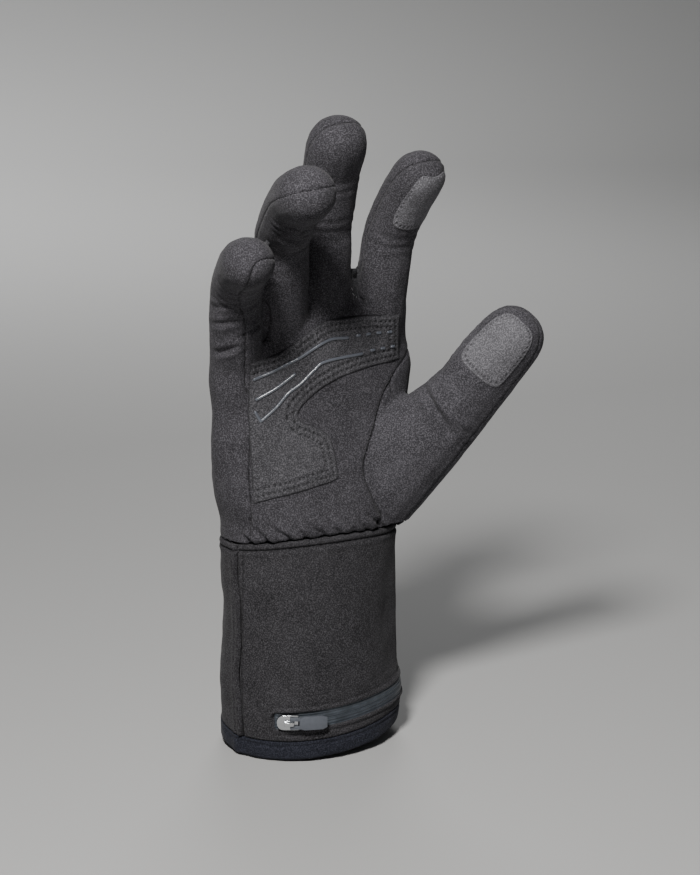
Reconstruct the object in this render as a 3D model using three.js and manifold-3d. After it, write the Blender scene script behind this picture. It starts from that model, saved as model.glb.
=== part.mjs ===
// A heated glove liner for the right hand, in the shape it takes on a relaxed, half-curled hand.
// Millimetres. +Z runs up the hand, the palm faces -Y and the thumb is at +X.
// The origin is the centre of the cuff's opening, where the wrist goes in.
import * as THREE from "three";
import { mergeVertices } from "three/addons/utils/BufferGeometryUtils.js";
import Module from "manifold-3d";

const wasm = await Module();
wasm.setup();

// Cuff
const cuffLength = 91;
const cuffWidth = 83;
const cuffDepth = 68;
const hemHeight = 8;
const hemFullness = 0.25; // how much thicker the folded hem is, on each side
const hemDip = 7; // how much lower the cuff hangs at hemDipAngle than on the other side
const hemDipAngle = -50;
const sideRidge = 1.2; // how far the cuff's seam on the little finger's side stands proud

// Hand
const wristWidth = 83;
const wristDepth = 54;
const wristRise = 4; // how much higher the wrist seam sits at the palm side
const gatherHeight = 5.5;
const gatherCount = 9;
const gatherRelief = 1.1;
const gatherSpan = [-54, 35]; // from the side seam to the thumb piece, as angles round the wrist
const gatherMargin = 4;
const palmLength = 109; // wrist seam to the webs of the fingers
const palmBreadth = 94;
const palmDepth = 36;
const webSlope = 0.28; // the line of the webs climbs towards the index finger
const fingerWidth = 25;
const fingerDepth = 24;
const fingerLength = 112; // middle finger, from its knuckle to its tip
const thumbWidth = 30;
const thumbDepth = 27;

// Cloth
const clothWall = 2;
const seamGap = 0.3;
const weldTolerance = 0.02;
const patchThickness = 0.8;
const touchThickness = 0.7;

// Grip print on the palm patch
const stripeWidth = 1.3;
const stripeHeight = 0.5;

// Zip
const zipHeight = 17; // middle of the zip above the cuff's bottom edge
const tapeWidth = 7.4;
const tapeThickness = 0.9;
const sliderLength = 9.6;
const sliderWidth = 7;
const sliderThickness = 1.6;
const bridgeHeight = 2.4;
const bridgeWidth = 1.8;
const pinRadius = 0.45;
const runningGap = 0.32; // between the pull's pin and arms and the slider's bridge
const armLength = 4.2;
const armThickness = 0.9;
const pullLength = 12.5;
const pullWidth = 6;
const pullThickness = 1.7;
const pullSag = 1.3; // how far the moulded tab curves down to its end
const pullSlope = 5; // degrees that the pull lies down from its pin

const degrees = THREE.MathUtils.degToRad;

// Digits. root: knuckle centre in shares of palmBreadth, palmDepth and palmLength (above the wrist seam).
// spread leans the digit towards the thumb, lean towards the palm, turn twists its pad; flex bends each joint.
// bones are shares of fingerLength. seams: where the front and back panels meet, as angles round the digit.
// web widens the side next to the index finger.
const digits = {
  index: {
    root: [0.335, -0.05, 0.8], spread: 1.5, lean: 4, turn: 8, flex: [8, 22, 14], size: [fingerWidth, fingerDepth],
    bones: [0.42, 0.23, 0.2], seams: [-95, 95],
    sections: [
      { share: 0, width: 0.5, depth: 0.5, web: 0 },
      { share: 0.5, width: 0.48, depth: 0.48, web: 0 },
      { share: 1, width: 0.46, depth: 0.46, web: 0 },
    ],
  },
  middle: {
    root: [0.085, 0, 0.82], spread: -4, lean: 3, turn: 0, flex: [6, 14, 12], size: [fingerWidth, fingerDepth],
    bones: [0.44, 0.275, 0.225], seams: [-92, 92],
    sections: [
      { share: 0, width: 0.5, depth: 0.5, web: 0 },
      { share: 0.5, width: 0.49, depth: 0.48, web: 0 },
      { share: 1, width: 0.54, depth: 0.52, web: 0 },
    ],
  },
  ring: {
    root: [-0.15, -0.02, 0.82], spread: -7, lean: 4, turn: -6, flex: [21, 29, 18], size: [fingerWidth, fingerDepth],
    bones: [0.5, 0.29, 0.25], seams: [-90, 92],
    sections: [
      { share: 0, width: 0.5, depth: 0.5, web: 0 },
      { share: 0.5, width: 0.49, depth: 0.5, web: 0 },
      { share: 1, width: 0.51, depth: 0.51, web: 0 },
    ],
  },
  little: {
    root: [-0.38, -0.06, 0.71], spread: -6, lean: 8, turn: -10, flex: [14, 34, 18], size: [fingerWidth, fingerDepth],
    bones: [0.385, 0.22, 0.2], seams: [-14, 90],
    sections: [
      { share: 0, width: 0.48, depth: 0.49, web: 0 },
      { share: 0.5, width: 0.46, depth: 0.47, web: 0 },
      { share: 1, width: 0.46, depth: 0.46, web: 0 },
    ],
  },
  thumb: {
    root: [0.36, -0.25, 0.17], spread: 34, lean: 18, turn: -22, flex: [2, 2, 4], size: [thumbWidth, thumbDepth],
    bones: [0.33, 0.33, 0.27], seams: [-90, 62],
    sections: [
      { share: 0, width: 0.62, depth: 0.56, web: 0.4 },
      { share: 0.25, width: 0.62, depth: 0.54, web: 0.22 },
      { share: 0.5, width: 0.58, depth: 0.5, web: 0 },
      { share: 0.75, width: 0.53, depth: 0.47, web: 0 },
      { share: 1, width: 0.46, depth: 0.43, web: 0 },
    ],
  },
};
const jointSpan = 0.2; // length of a joint's bend, as a share of fingerLength
const rootInset = 0.12; // how far a digit starts below its knuckle, as a share of fingerLength
const tipRound = 0.13; // length of the rounded tip, as a share of fingerLength
const tipSquareness = 2.4;

// Folds and dents of the digits. share runs from knuckle to tip, angle round the digit from its pad;
// depth is a share of fingerDepth, reach a share of the digit's length, and spread is in degrees.
const digitFolds = {
  index: [
    { share: 0.5, angle: 0, depth: 0.05, reach: 0.045, spread: 60 },
    { share: 0.02, angle: -30, depth: 0.04, reach: 0.05, spread: 70 },
  ],
  middle: [
    { share: 0.47, angle: 0, depth: 0.06, reach: 0.045, spread: 60 },
    { share: 0.78, angle: 0, depth: 0.04, reach: 0.04, spread: 60 },
  ],
  ring: [
    { share: 0.45, angle: 0, depth: 0.08, reach: 0.05, spread: 60 },
    { share: 0.74, angle: -20, depth: 0.05, reach: 0.04, spread: 60 },
  ],
  little: [
    { share: 0.08, angle: -40, depth: 0.09, reach: 0.05, spread: 70 },
    { share: 0.27, angle: -30, depth: 0.05, reach: 0.04, spread: 60 },
    { share: 0.5, angle: -20, depth: 0.06, reach: 0.04, spread: 60 },
  ],
  thumb: [
    { share: 0.36, angle: -40, depth: 0.1, reach: 0.05, spread: 55 },
    { share: 0.5, angle: -90, depth: 0.12, reach: 0.16, spread: 45 },
  ],
};

// Palm and back of the hand, from the wrist seam up to the webs. share: of palmLength; half: of palmBreadth;
// front and back: of palmDepth; x: of palmBreadth; tilt: of webSlope; wrist: how much of the wrist's oval is left;
// seam: angle of the palm's seam on the little finger's side.
const palmSections = [
  { share: 0, half: 0.44, front: 0.7, back: 0.7, x: 0, tilt: 0, wrist: 1, seam: -59 },
  { share: 0.05, half: 0.45, front: 0.71, back: 0.69, x: 0, tilt: 0, wrist: 0.7, seam: -56 },
  { share: 0.12, half: 0.465, front: 0.68, back: 0.64, x: 0, tilt: 0, wrist: 0.2, seam: -51 },
  { share: 0.3, half: 0.485, front: 0.58, back: 0.54, x: 0, tilt: 0.2, wrist: 0, seam: -48 },
  { share: 0.46, half: 0.495, front: 0.51, back: 0.49, x: 0.008, tilt: 0.4, wrist: 0, seam: -47 },
  { share: 0.57, half: 0.51, front: 0.48, back: 0.47, x: 0.022, tilt: 0.6, wrist: 0, seam: -46 },
  { share: 0.68, half: 0.495, front: 0.45, back: 0.44, x: 0.005, tilt: 0.8, wrist: 0, seam: -47 },
  { share: 0.82, half: 0.495, front: 0.41, back: 0.41, x: 0.01, tilt: 1, wrist: 0, seam: -47 },
  { share: 0.92, half: 0.485, front: 0.38, back: 0.38, x: 0.012, tilt: 1, wrist: 0, seam: -46 },
  { share: 0.97, half: 0.47, front: 0.33, back: 0.33, x: 0.014, tilt: 1, wrist: 0, seam: -45 },
  { share: 1, half: 0.44, front: 0.22, back: 0.22, x: 0.016, tilt: 1, wrist: 0, seam: -44 },
];
const palmSquareness = 2.3;
const thumbSideSeam = 96; // angle of the seam between palm and back on the thumb's side

// Hollows of the palm: share of palmLength up, angle round the hand, depth as a share of palmDepth.
const palmDents = [
  { share: 0.5, angle: 5, depth: 0.07, reach: 0.2, spread: 40 },
  { share: 0.1, angle: -80, depth: 0.05, reach: 0.07, spread: 30 },
  { share: 0.62, angle: -75, depth: 0.05, reach: 0.05, spread: 30 },
];

// The cuff's raised side seam, as a swelling along the whole cuff beside the seam.
const ridgeSpread = 5;

// Sags and swellings of the cuff: share of cuffLength up, depth as a share of cuffDepth.
const cuffDents = [
  { share: 0.62, angle: -100, depth: 0.018, reach: 0.12, spread: 26 },
  { share: 0.3, angle: -95, depth: -0.012, reach: 0.12, spread: 24 },
  { share: 0.6, angle: 28, depth: 0.02, reach: 0.22, spread: 20 },
  { share: 0.17, angle: 62, depth: -0.04, reach: 0.09, spread: 26 },
  { share: 0.5, angle: -20, depth: -0.012, reach: 0.3, spread: 24 },
  { share: 0.55, angle: 150, depth: 0.015, reach: 0.2, spread: 35 },
];
const cuffSeams = [-68, 100];

// Edge of the thumb piece on the palm, from the web to the wrist, in shares of palmBreadth and palmLength.
const thumbSeam = [
  [0.47, 0.7],
  [0.39, 0.65],
  [0.33, 0.58],
  [0.26, 0.43],
  [0.2, 0.32],
  [0.19, 0.26],
  [0.22, 0.17],
  [0.27, 0.08],
  [0.33, 0],
  [0.35, -0.03],
];
const thumbSeamBack = 0.22; // where the thumb piece ends on the back of the hand, in shares of palmDepth

// The same edge carried on between the thumb and the index finger, from the far side back to the web.
const thumbWeb = [
  [1.6, 1.6],
  [0.62, 1.02],
  [0.55, 0.78],
];

// Outline of the palm patch, from its corner at the little finger round by the index finger.
const patchOutline = [
  [-0.362, 0.763],
  [-0.229, 0.784],
  [-0.111, 0.841],
  [-0.014, 0.89],
  [0.063, 0.908],
  [0.224, 0.911],
  [0.407, 0.9],
  [0.425, 0.7],
  [0.258, 0.69],
  [0.119, 0.667],
  [0.01, 0.631],
  [-0.078, 0.581],
  [-0.118, 0.54],
  [-0.11, 0.506],
  [-0.056, 0.481],
  [0.018, 0.442],
  [0.044, 0.391],
  [0.056, 0.28],
  [0.033, 0.251],
  [-0.056, 0.236],
  [-0.182, 0.215],
  [-0.279, 0.2],
  [-0.362, 0.18],
];

// Lines of the grip print, in shares of palmBreadth and palmLength.
const gripLines = {
  upper: [[-0.345, 0.687], [-0.255, 0.713], [-0.114, 0.764], [0.028, 0.822], [0.136, 0.825]],
  middle: [[-0.332, 0.603], [-0.22, 0.654], [-0.136, 0.701]],
  lower: [
    [-0.335, 0.56],
    [-0.308, 0.516],
    [-0.235, 0.569],
    [-0.177, 0.622],
    [-0.117, 0.655],
    [-0.046, 0.706],
    [0.016, 0.738],
    [0.21, 0.753],
  ],
};
const gripDashes = [
  { across: 0.185, up: 0.829 },
  { across: 0.24, up: 0.829 },
  { across: 0.295, up: 0.83 },
  { across: 0.35, up: 0.829 },
  { across: 0.262, up: 0.761 },
  { across: 0.318, up: 0.763 },
  { across: 0.374, up: 0.765 },
];
const dashShare = 0.03; // length of a dash, as a share of palmBreadth

// Touch patches: where each starts and ends along its digit, and its middle and half spread in degrees.
const touchPatches = {
  index: { from: 0.64, to: 0.97, angle: 24, spread: 42 },
  thumb: { from: 0.67, to: 1.02, angle: -12, spread: 54 },
};

// Zip: from the slider's end to the thumb side, as angles round the cuff.
const zipSpan = [-40, 80];
const sliderAngle = -31;
const tapeDepth = 0.2; // how far the tape lies below the cloth

const pinHeight = 0.35 + pinRadius + runningGap; // middle of the pull's pin above the slider's plate
const sliderEnd = 3.2; // how far the plate reaches past the pin, under the pull

// Sides and rows of the lofts. The inner faces are coarser than the outer ones.
const outerFaces = { sides: 12, rows: 10, palmSides: 28, palmRows: 10, tip: [0, 0.4, 0.7, 0.9, 0.985] };
const innerFaces = { sides: 12, rows: 10, palmSides: 16, palmRows: 6, tip: [0, 0.6, 0.97] };
const cuffSides = 36;
const cuffRows = 4;
const sectorReach = 4; // how far the cutting regions stand out past the cloth
const wristRun = -0.03; // how far the hand's loft runs past the wrist seam, as a share of palmLength
const neighbourGap = 0.5; // how far a finger's own region reaches towards the next finger
const full = 2 * Math.PI;

const smooth = (t) => THREE.MathUtils.smoothstep(t, 0, 1);
const lerp = THREE.MathUtils.lerp;

// Sweeps rings of points into a closed geometry. Each ring goes anticlockwise seen from its far end.
function loft(rings) {
  const columns = rings[0].length;
  const centre = (ring) => ring.reduce((sum, p) => sum.add(p), new THREE.Vector3()).divideScalar(columns);
  const points = [...rings.flat(), centre(rings[0]), centre(rings.at(-1))];
  const foot = rings.length * columns;
  const head = foot + 1;
  const top = foot - columns;
  const faces = [];
  for (let row = 0; row + 1 < rings.length; row++) {
    for (let i = 0; i < columns; i++) {
      const a = row * columns + i;
      const b = row * columns + ((i + 1) % columns);
      faces.push(a, b, b + columns, a, b + columns, a + columns);
    }
  }
  for (let i = 0; i < columns; i++) {
    const next = (i + 1) % columns;
    faces.push(foot, next, i, head, top + i, top + next);
  }
  const geometry = new THREE.BufferGeometry();
  geometry.setAttribute("position", new THREE.Float32BufferAttribute(points.flatMap((p) => p.toArray()), 3));
  geometry.setIndex(faces);
  return geometry;
}

function solidOf(geometry) {
  const bare = new THREE.BufferGeometry();
  const flat = geometry.index ? geometry.toNonIndexed() : geometry;
  bare.setAttribute("position", flat.getAttribute("position"));
  const merged = mergeVertices(bare, 1e-4);
  return new wasm.Manifold(
    new wasm.Mesh({
      numProp: 3,
      vertProperties: merged.attributes.position.array,
      triVerts: new Uint32Array(merged.index.array),
    }),
  );
}

function geometryOf(solid) {
  const made = solid.getMesh();
  const positions = new Float32Array(made.numVert * 3);
  for (let i = 0; i < made.numVert; i++) {
    positions.set(made.vertProperties.subarray(i * made.numProp, i * made.numProp + 3), i * 3);
  }
  const geometry = new THREE.BufferGeometry();
  geometry.setAttribute("position", new THREE.BufferAttribute(positions, 3));
  geometry.setIndex(new THREE.BufferAttribute(made.triVerts, 1));
  return geometry;
}

// Reads a column of a table of sections at any share between its rows, along a smooth curve.
function between(rows, share, column) {
  const after = rows.findIndex((row) => row.share >= share);
  if (after <= 0) return rows.at(after)[column];
  const [a, b] = [rows[after - 1], rows[after]];
  const [before, beyond] = [rows[Math.max(after - 2, 0)], rows[Math.min(after + 1, rows.length - 1)]];
  const width = b.share - a.share;
  const t = (share - a.share) / width;
  const start = ((b[column] - before[column]) / (b.share - before.share)) * width;
  const end = ((beyond[column] - a[column]) / (beyond.share - a.share)) * width;
  return (
    a[column] * (2 * t ** 3 - 3 * t ** 2 + 1) +
    start * (t ** 3 - 2 * t ** 2 + t) +
    b[column] * (3 * t ** 2 - 2 * t ** 3) +
    end * (t ** 3 - t ** 2)
  );
}

// Depth of all the dents of a table at one place, in the unit of the size that they are shares of.
function dented(table, share, angle, size) {
  return table.reduce((sum, dent) => {
    const apart = THREE.MathUtils.euclideanModulo(THREE.MathUtils.radToDeg(angle) - dent.angle + 180, 360) - 180;
    const along = Math.exp(-(((share - dent.share) / dent.reach) ** 2));
    return sum + dent.depth * size * along * Math.exp(-((apart / dent.spread) ** 2));
  }, 0);
}

// A point of an oval: angle 0 faces the palm side (-Y), 90 degrees the thumb side (+X).
function oval(angle, halfWidth, halfDepth, squareness) {
  const power = 2 / squareness;
  const s = Math.sin(angle);
  const c = Math.cos(angle);
  return [Math.sign(s) * Math.abs(s) ** power * halfWidth, -Math.sign(c) * Math.abs(c) ** power * halfDepth];
}

const anglesRound = (sides) => Array.from({ length: sides }, (_, i) => (full * i) / sides);
const anglesFrom = ([first, last], steps) =>
  Array.from({ length: steps + 1 }, (_, i) => degrees(lerp(first, last, i / steps)));

// The digit's centre line: each joint's bend is spread over jointSpan, and the line is summed up step by step.
function digitLine(digit) {
  const lengths = digit.bones.map((bone) => bone * fingerLength);
  const whole = lengths[0] + lengths[1] + lengths[2];
  const joints = [0, lengths[0], lengths[0] + lengths[1]];
  const span = jointSpan * fingerLength;
  const base = new THREE.Quaternion().setFromEuler(
    new THREE.Euler(degrees(digit.lean), degrees(digit.spread), degrees(digit.turn), "YXZ"),
  );
  const flexAt = (s) => digit.flex.reduce((sum, flex, i) => sum + flex * smooth((s - joints[i]) / span + 0.5), 0);
  const frameAt = (s) => {
    const bend = new THREE.Quaternion().setFromAxisAngle(new THREE.Vector3(1, 0, 0), degrees(flexAt(s)));
    const turned = base.clone().multiply(bend);
    return {
      along: new THREE.Vector3(0, 0, 1).applyQuaternion(turned),
      side: new THREE.Vector3(1, 0, 0).applyQuaternion(turned),
      pad: new THREE.Vector3(0, -1, 0).applyQuaternion(turned),
    };
  };
  const root = new THREE.Vector3(
    digit.root[0] * palmBreadth,
    digit.root[1] * palmDepth,
    cuffLength + digit.root[2] * palmLength,
  );
  const centreAt = (s) => {
    const point = root.clone();
    const steps = Math.max(1, Math.ceil(Math.abs(s)));
    for (let i = 0; i < steps; i++) {
      point.addScaledVector(frameAt((s * (i + 0.5)) / steps).along, s / steps);
    }
    return point;
  };
  return { start: -rootInset * fingerLength, whole, frameAt, centreAt };
}
for (const name of Object.keys(digits)) digits[name].line = digitLine(digits[name]);

// A point on a digit's cloth, grown outwards by grow, at a distance along it and an angle round it.
function digitPoint(name, s, angle, grow) {
  const digit = digits[name];
  const round = tipRound * fingerLength + grow;
  const left = THREE.MathUtils.clamp((s - (digit.line.whole + grow - round)) / round, 0, 1);
  const dome = (1 - left ** tipSquareness) ** (1 / tipSquareness);
  const share = THREE.MathUtils.clamp(s / digit.line.whole, 0, 1);
  const [width, depth] = digit.size;
  const fold = dented(digitFolds[name], s / digit.line.whole, angle, fingerDepth);
  const sine = Math.sin(angle);
  const web = sine < 0 ? between(digit.sections, share, "web") * width : 0;
  const halfWidth = between(digit.sections, share, "width") * width + grow + web - fold;
  const halfDepth = between(digit.sections, share, "depth") * depth + grow - fold;
  const { side, pad } = digit.line.frameAt(s);
  return digit.line
    .centreAt(s)
    .addScaledVector(side, sine * halfWidth * dome)
    .addScaledVector(pad, Math.cos(angle) * halfDepth * dome);
}

function digitSolid(name, grow, { sides, rows, tip }) {
  const { start, whole } = digits[name].line;
  const round = tipRound * fingerLength + grow;
  const straightEnd = whole + grow - round;
  const stations = Array.from({ length: rows }, (_, row) => lerp(start, straightEnd, row / rows));
  tip.forEach((share) => stations.push(straightEnd + share * round));
  return solidOf(loft(stations.map((s) => anglesRound(sides).map((angle) => digitPoint(name, s, angle, grow)))));
}

// The region in front of a digit's side seams, from its centre line out to reach past the cloth.
function digitSector(name, clearance, inset, reach) {
  const { whole, centreAt } = digits[name].line;
  const [first, last] = digits[name].seams;
  const opened = THREE.MathUtils.radToDeg(clearance / (fingerWidth / 2));
  const angles = anglesFrom([first - opened, last + opened], 4);
  const rings = [];
  const rows = 9;
  for (let row = 0; row <= rows; row++) {
    const s = lerp(-inset * fingerLength - 4 * clearance, whole + sectorReach, row / rows);
    const ring = angles.map((angle) => digitPoint(name, Math.min(s, whole * 0.85), angle, reach));
    const shift = centreAt(s).sub(centreAt(Math.min(s, whole * 0.85)));
    rings.push([centreAt(s), ...ring.map((point) => point.add(shift))]);
  }
  return solidOf(loft(rings));
}

// The front of one finger, kept clear of its neighbours.
function fingerFront(name, clearance) {
  const close = digitSolid(name, neighbourGap + clearance, outerFaces);
  return digitSector(name, clearance, rootInset, sectorReach + 4 * clearance).intersect(close);
}

// How much higher than cuffLength the wrist seam runs.
function wristLift(angle) {
  return wristRise * Math.max(0, Math.cos(angle)) ** 2;
}

function palmPoint(share, angle, grow) {
  const held = THREE.MathUtils.clamp(share, 0, 1);
  const get = (column) => between(palmSections, held, column);
  const dent = dented(palmDents, share, angle, palmDepth);
  const wrist = get("wrist");
  const facing = Math.cos(angle) > 0 ? "front" : "back";
  const halfWidth = lerp(get("half") * palmBreadth, wristWidth / 2, wrist) + grow - dent;
  const halfDepth = lerp(get(facing) * palmDepth, wristDepth / 2, wrist) + grow - dent;
  const squareness = lerp(palmSquareness, 2, wrist);
  const [x, y] = oval(angle, halfWidth, halfDepth, squareness);
  const lift = wristLift(angle) * Math.max(0, 1 - share * 3);
  const height = cuffLength + share * (palmLength + grow) + get("tilt") * webSlope * x + lift;
  return new THREE.Vector3(x + get("x") * palmBreadth, y, height);
}

function palmSolid(grow, lowest, { palmSides, palmRows }) {
  const rings = [];
  for (let row = 0; row <= palmRows; row++) {
    const share = lerp(lowest, 1, row / palmRows);
    rings.push(anglesRound(palmSides).map((angle) => palmPoint(share, angle, grow)));
  }
  return solidOf(loft(rings));
}

// The region in front of the palm's side seams.
function palmFront(clearance) {
  const opened = THREE.MathUtils.radToDeg(clearance / (palmDepth / 2));
  const rings = [];
  const rows = 8;
  for (let row = 0; row <= rows; row++) {
    const share = lerp(-0.1, 1.04 + (4 * clearance) / palmLength, row / rows);
    const middle = palmPoint(share, 0, 0).add(palmPoint(share, Math.PI, 0)).multiplyScalar(0.5);
    const seam = between(palmSections, THREE.MathUtils.clamp(share, 0, 1), "seam");
    const angles = anglesFrom([seam - opened, thumbSideSeam + opened], 12);
    const rim = angles.map((angle) => {
      const point = palmPoint(share, angle, 0);
      return point.addScaledVector(point.clone().sub(middle).normalize(), sectorReach + 4 * clearance);
    });
    rings.push([middle, ...rim]);
  }
  return solidOf(loft(rings));
}

// Everything below the wrist seam.
function belowWrist() {
  const ring = (share, grow) => anglesRound(outerFaces.palmSides).map((angle) => palmPoint(share, angle, grow));
  return solidOf(loft([ring(-0.3, palmDepth), ring(0, palmDepth), ring(0, -palmDepth / 4)]));
}

const names = Object.keys(digits);
const fingerNames = names.filter((name) => name !== "thumb");
const union = (solids) => solids.reduce((whole, solid) => whole.add(solid));

// The whole hand, grown outwards by grow, with its foot at a share of palmLength above the wrist seam.
function handSolid(grow, lowest, faces) {
  return union([palmSolid(grow, lowest, faces), ...names.map((name) => digitSolid(name, grow, faces))]);
}

// A block with the outline given by points in X and Z, long enough in Y to pass through the whole hand.
function prism(points, near, far) {
  const shape = new THREE.Shape(points.map(([x, z]) => new THREE.Vector2(x, z)));
  const block = new THREE.ExtrudeGeometry(shape, { depth: far - near, bevelEnabled: false });
  block.rotateX(Math.PI / 2);
  block.translate(0, far, 0);
  return solidOf(block);
}

const onHand = ([x, z]) => [x * palmBreadth, cuffLength + z * palmLength];

// Everything on the thumb's side of its seam, with the seam moved by clearance.
function thumbRegion(clearance) {
  const curve = new THREE.SplineCurve(thumbSeam.map((p) => new THREE.Vector2(...onHand(p))));
  const edge = curve.getPoints(16).map((p) => [p.x - clearance, p.y + clearance]);
  const far = palmBreadth * 1.6;
  const foot = cuffLength - palmLength * 0.1;
  const [endX] = edge.at(-1);
  const above = thumbWeb.map(onHand).map(([x, z]) => [x - clearance, z + clearance]);
  return prism([...edge, [endX, foot], [far, foot], ...above], -palmBreadth, thumbSeamBack * palmDepth + clearance);
}

// A line of the grip print as an outline: its points moved half a stroke to each side.
function strokeOutline(points, width) {
  const left = [];
  const right = [];
  points.forEach(([x, z], i) => {
    const [x0, z0] = points[Math.max(i - 1, 0)];
    const [x1, z1] = points[Math.min(i + 1, points.length - 1)];
    const long = Math.hypot(x1 - x0, z1 - z0);
    const [acrossX, acrossZ] = [(-(z1 - z0) / long) * (width / 2), ((x1 - x0) / long) * (width / 2)];
    left.push([x + acrossX, z + acrossZ]);
    right.unshift([x - acrossX, z - acrossZ]);
  });
  return [...left, ...right];
}

// A layer of even thickness on the front of the hand, cut to an outline.
function layer(outline, lowest, highest) {
  return grownHand(highest).subtract(grownHand(lowest)).intersect(prism(outline, -palmBreadth, 0));
}

const grown = new Map();
function grownHand(grow) {
  if (!grown.has(grow)) grown.set(grow, handSolid(grow, wristRun, outerFaces));
  return grown.get(grow);
}

function cuffPoint(share, angle, grow) {
  const fromSeam = THREE.MathUtils.radToDeg(angle > Math.PI ? angle - full : angle) - cuffSeams[0] + ridgeSpread;
  const ridge = sideRidge * Math.exp(-((fromSeam / ridgeSpread) ** 2));
  const dent = dented(cuffDents, share, angle, cuffDepth) - ridge;
  const halfWidth = lerp(cuffWidth, wristWidth, share) / 2 + grow - dent;
  const halfDepth = lerp(cuffDepth, wristDepth, share) / 2 + grow - dent;
  const [x, y] = oval(angle, halfWidth, halfDepth, 2);
  const dip = hemDip * (0.5 + 0.5 * Math.cos(angle - degrees(hemDipAngle))) ** 1.5 * (1 - share);
  return new THREE.Vector3(x, y, share * cuffLength - dip + wristLift(angle) * share ** 3);
}

// The cuff between two shares of its height, grown outwards by grow.
function cuffSolid(grow, [lowest, highest], rows) {
  const rings = [];
  for (let row = 0; row <= rows; row++) {
    const share = lerp(lowest, highest, row / rows);
    rings.push(anglesRound(cuffSides).map((angle) => cuffPoint(share, angle, grow)));
  }
  return solidOf(loft(rings));
}

function cuffFront(clearance) {
  const opened = THREE.MathUtils.radToDeg(clearance / (cuffWidth / 2));
  const angles = anglesFrom([cuffSeams[0] - opened, cuffSeams[1] + opened], 18);
  const rings = [-0.05, 0.5, 1.05].map((share) => {
    const middle = new THREE.Vector3(0, 0, share * cuffLength);
    return [middle, ...angles.map((angle) => cuffPoint(share, angle, sectorReach))];
  });
  return solidOf(loft(rings));
}

// A strip lying round the cuff: angles from one end to the other, shares of the height for its two edges.
function cuffStrip([first, last], steps, [low, high], [inner, outer]) {
  const rings = anglesFrom([first, last], steps).map((angle) => [
    cuffPoint(low, angle, outer),
    cuffPoint(low, angle, inner),
    cuffPoint(high, angle, inner),
    cuffPoint(high, angle, outer),
  ]);
  return solidOf(loft(rings));
}

// The gathered edge of the palm at the wrist: its face rises and falls gatherCount times.
function gatherBand(low, high, inner, outer, relief, [first, last]) {
  const stepsEach = 4;
  const steps = gatherCount * stepsEach;
  const rings = [];
  for (let i = 0; i <= steps; i++) {
    const angle = degrees(lerp(first, last, i / steps));
    const wave = relief * Math.sin((Math.PI * (i % stepsEach)) / stepsEach) ** 2;
    const at = (height, grow) => palmPoint(height / palmLength, angle, grow);
    rings.push([at(low, outer), at(low, inner), at(high, inner), at(high, outer), at(lerp(low, high, 0.5), outer + wave)]);
  }
  return solidOf(loft(rings));
}

const outside = grownHand(0);
const inside = handSolid(-clothWall, 2 * wristRun, innerFaces);
const shell = outside.subtract(inside).subtract(belowWrist());
const handFront = (clearance) =>
  union([palmFront(clearance), ...fingerNames.map((name) => fingerFront(name, clearance))]);
const thumbFront = (clearance) => digitSector("thumb", clearance, 0.4, palmBreadth * 0.5);
const thumbSide = thumbRegion(0);
const handSide = shell.subtract(thumbRegion(seamGap));
const thumbShell = shell.intersect(thumbSide);
const gatherCut = gatherBand(-clothWall, gatherHeight + 2 * seamGap, -2 * clothWall, sectorReach, 0, [
  gatherSpan[0] - gatherMargin,
  gatherSpan[1] + gatherMargin,
]);

const cuffSpan = [(hemHeight + seamGap) / cuffLength, 1 - seamGap / cuffLength];
const hemSpan = [0, hemHeight / cuffLength];
const cuffWall = cuffSolid(0, cuffSpan, cuffRows).subtract(cuffSolid(-clothWall, [-0.02, 1.02], cuffRows));
const zipEdges = (clearance) => [-1, 1].map((side) => (zipHeight + side * (tapeWidth / 2 + clearance)) / cuffLength);
const zipSteps = 12;
const tape = cuffStrip(zipSpan, zipSteps, zipEdges(0), [-tapeDepth - tapeThickness, -tapeDepth]);
const zipGap = THREE.MathUtils.radToDeg(seamGap / (cuffWidth / 2));
const tapeCut = cuffStrip(
  [zipSpan[0] - zipGap, zipSpan[1] + zipGap],
  zipSteps,
  zipEdges(seamGap),
  [-tapeDepth - tapeThickness - seamGap, sectorReach],
);
const hem = cuffSolid(hemFullness, hemSpan, 1).subtract(cuffSolid(-clothWall - hemFullness, [-0.02, 0.12], 1));

// A touch patch is a thin layer on its digit, cut by a wedge with rounded ends.
function touchPatch(name) {
  const { from, to, angle, spread } = touchPatches[name];
  const { whole, centreAt } = digits[name].line;
  const steps = 8;
  const rings = [];
  for (let i = 0; i <= steps; i++) {
    const place = -Math.cos(Math.PI * lerp(0.05, 0.95, i / steps));
    const half = spread * (1 - Math.abs(place) ** 3) ** (1 / 3);
    const s = lerp(from, to, (place + 1) / 2) * whole;
    const arc = anglesFrom([angle - half, angle + half], 4).map((a) => digitPoint(name, s, a, sectorReach));
    rings.push([centreAt(s), ...arc]);
  }
  const cloth = digitSolid(name, seamGap + touchThickness, outerFaces);
  return cloth.subtract(digitSolid(name, seamGap, outerFaces)).intersect(solidOf(loft(rings)));
}

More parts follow.
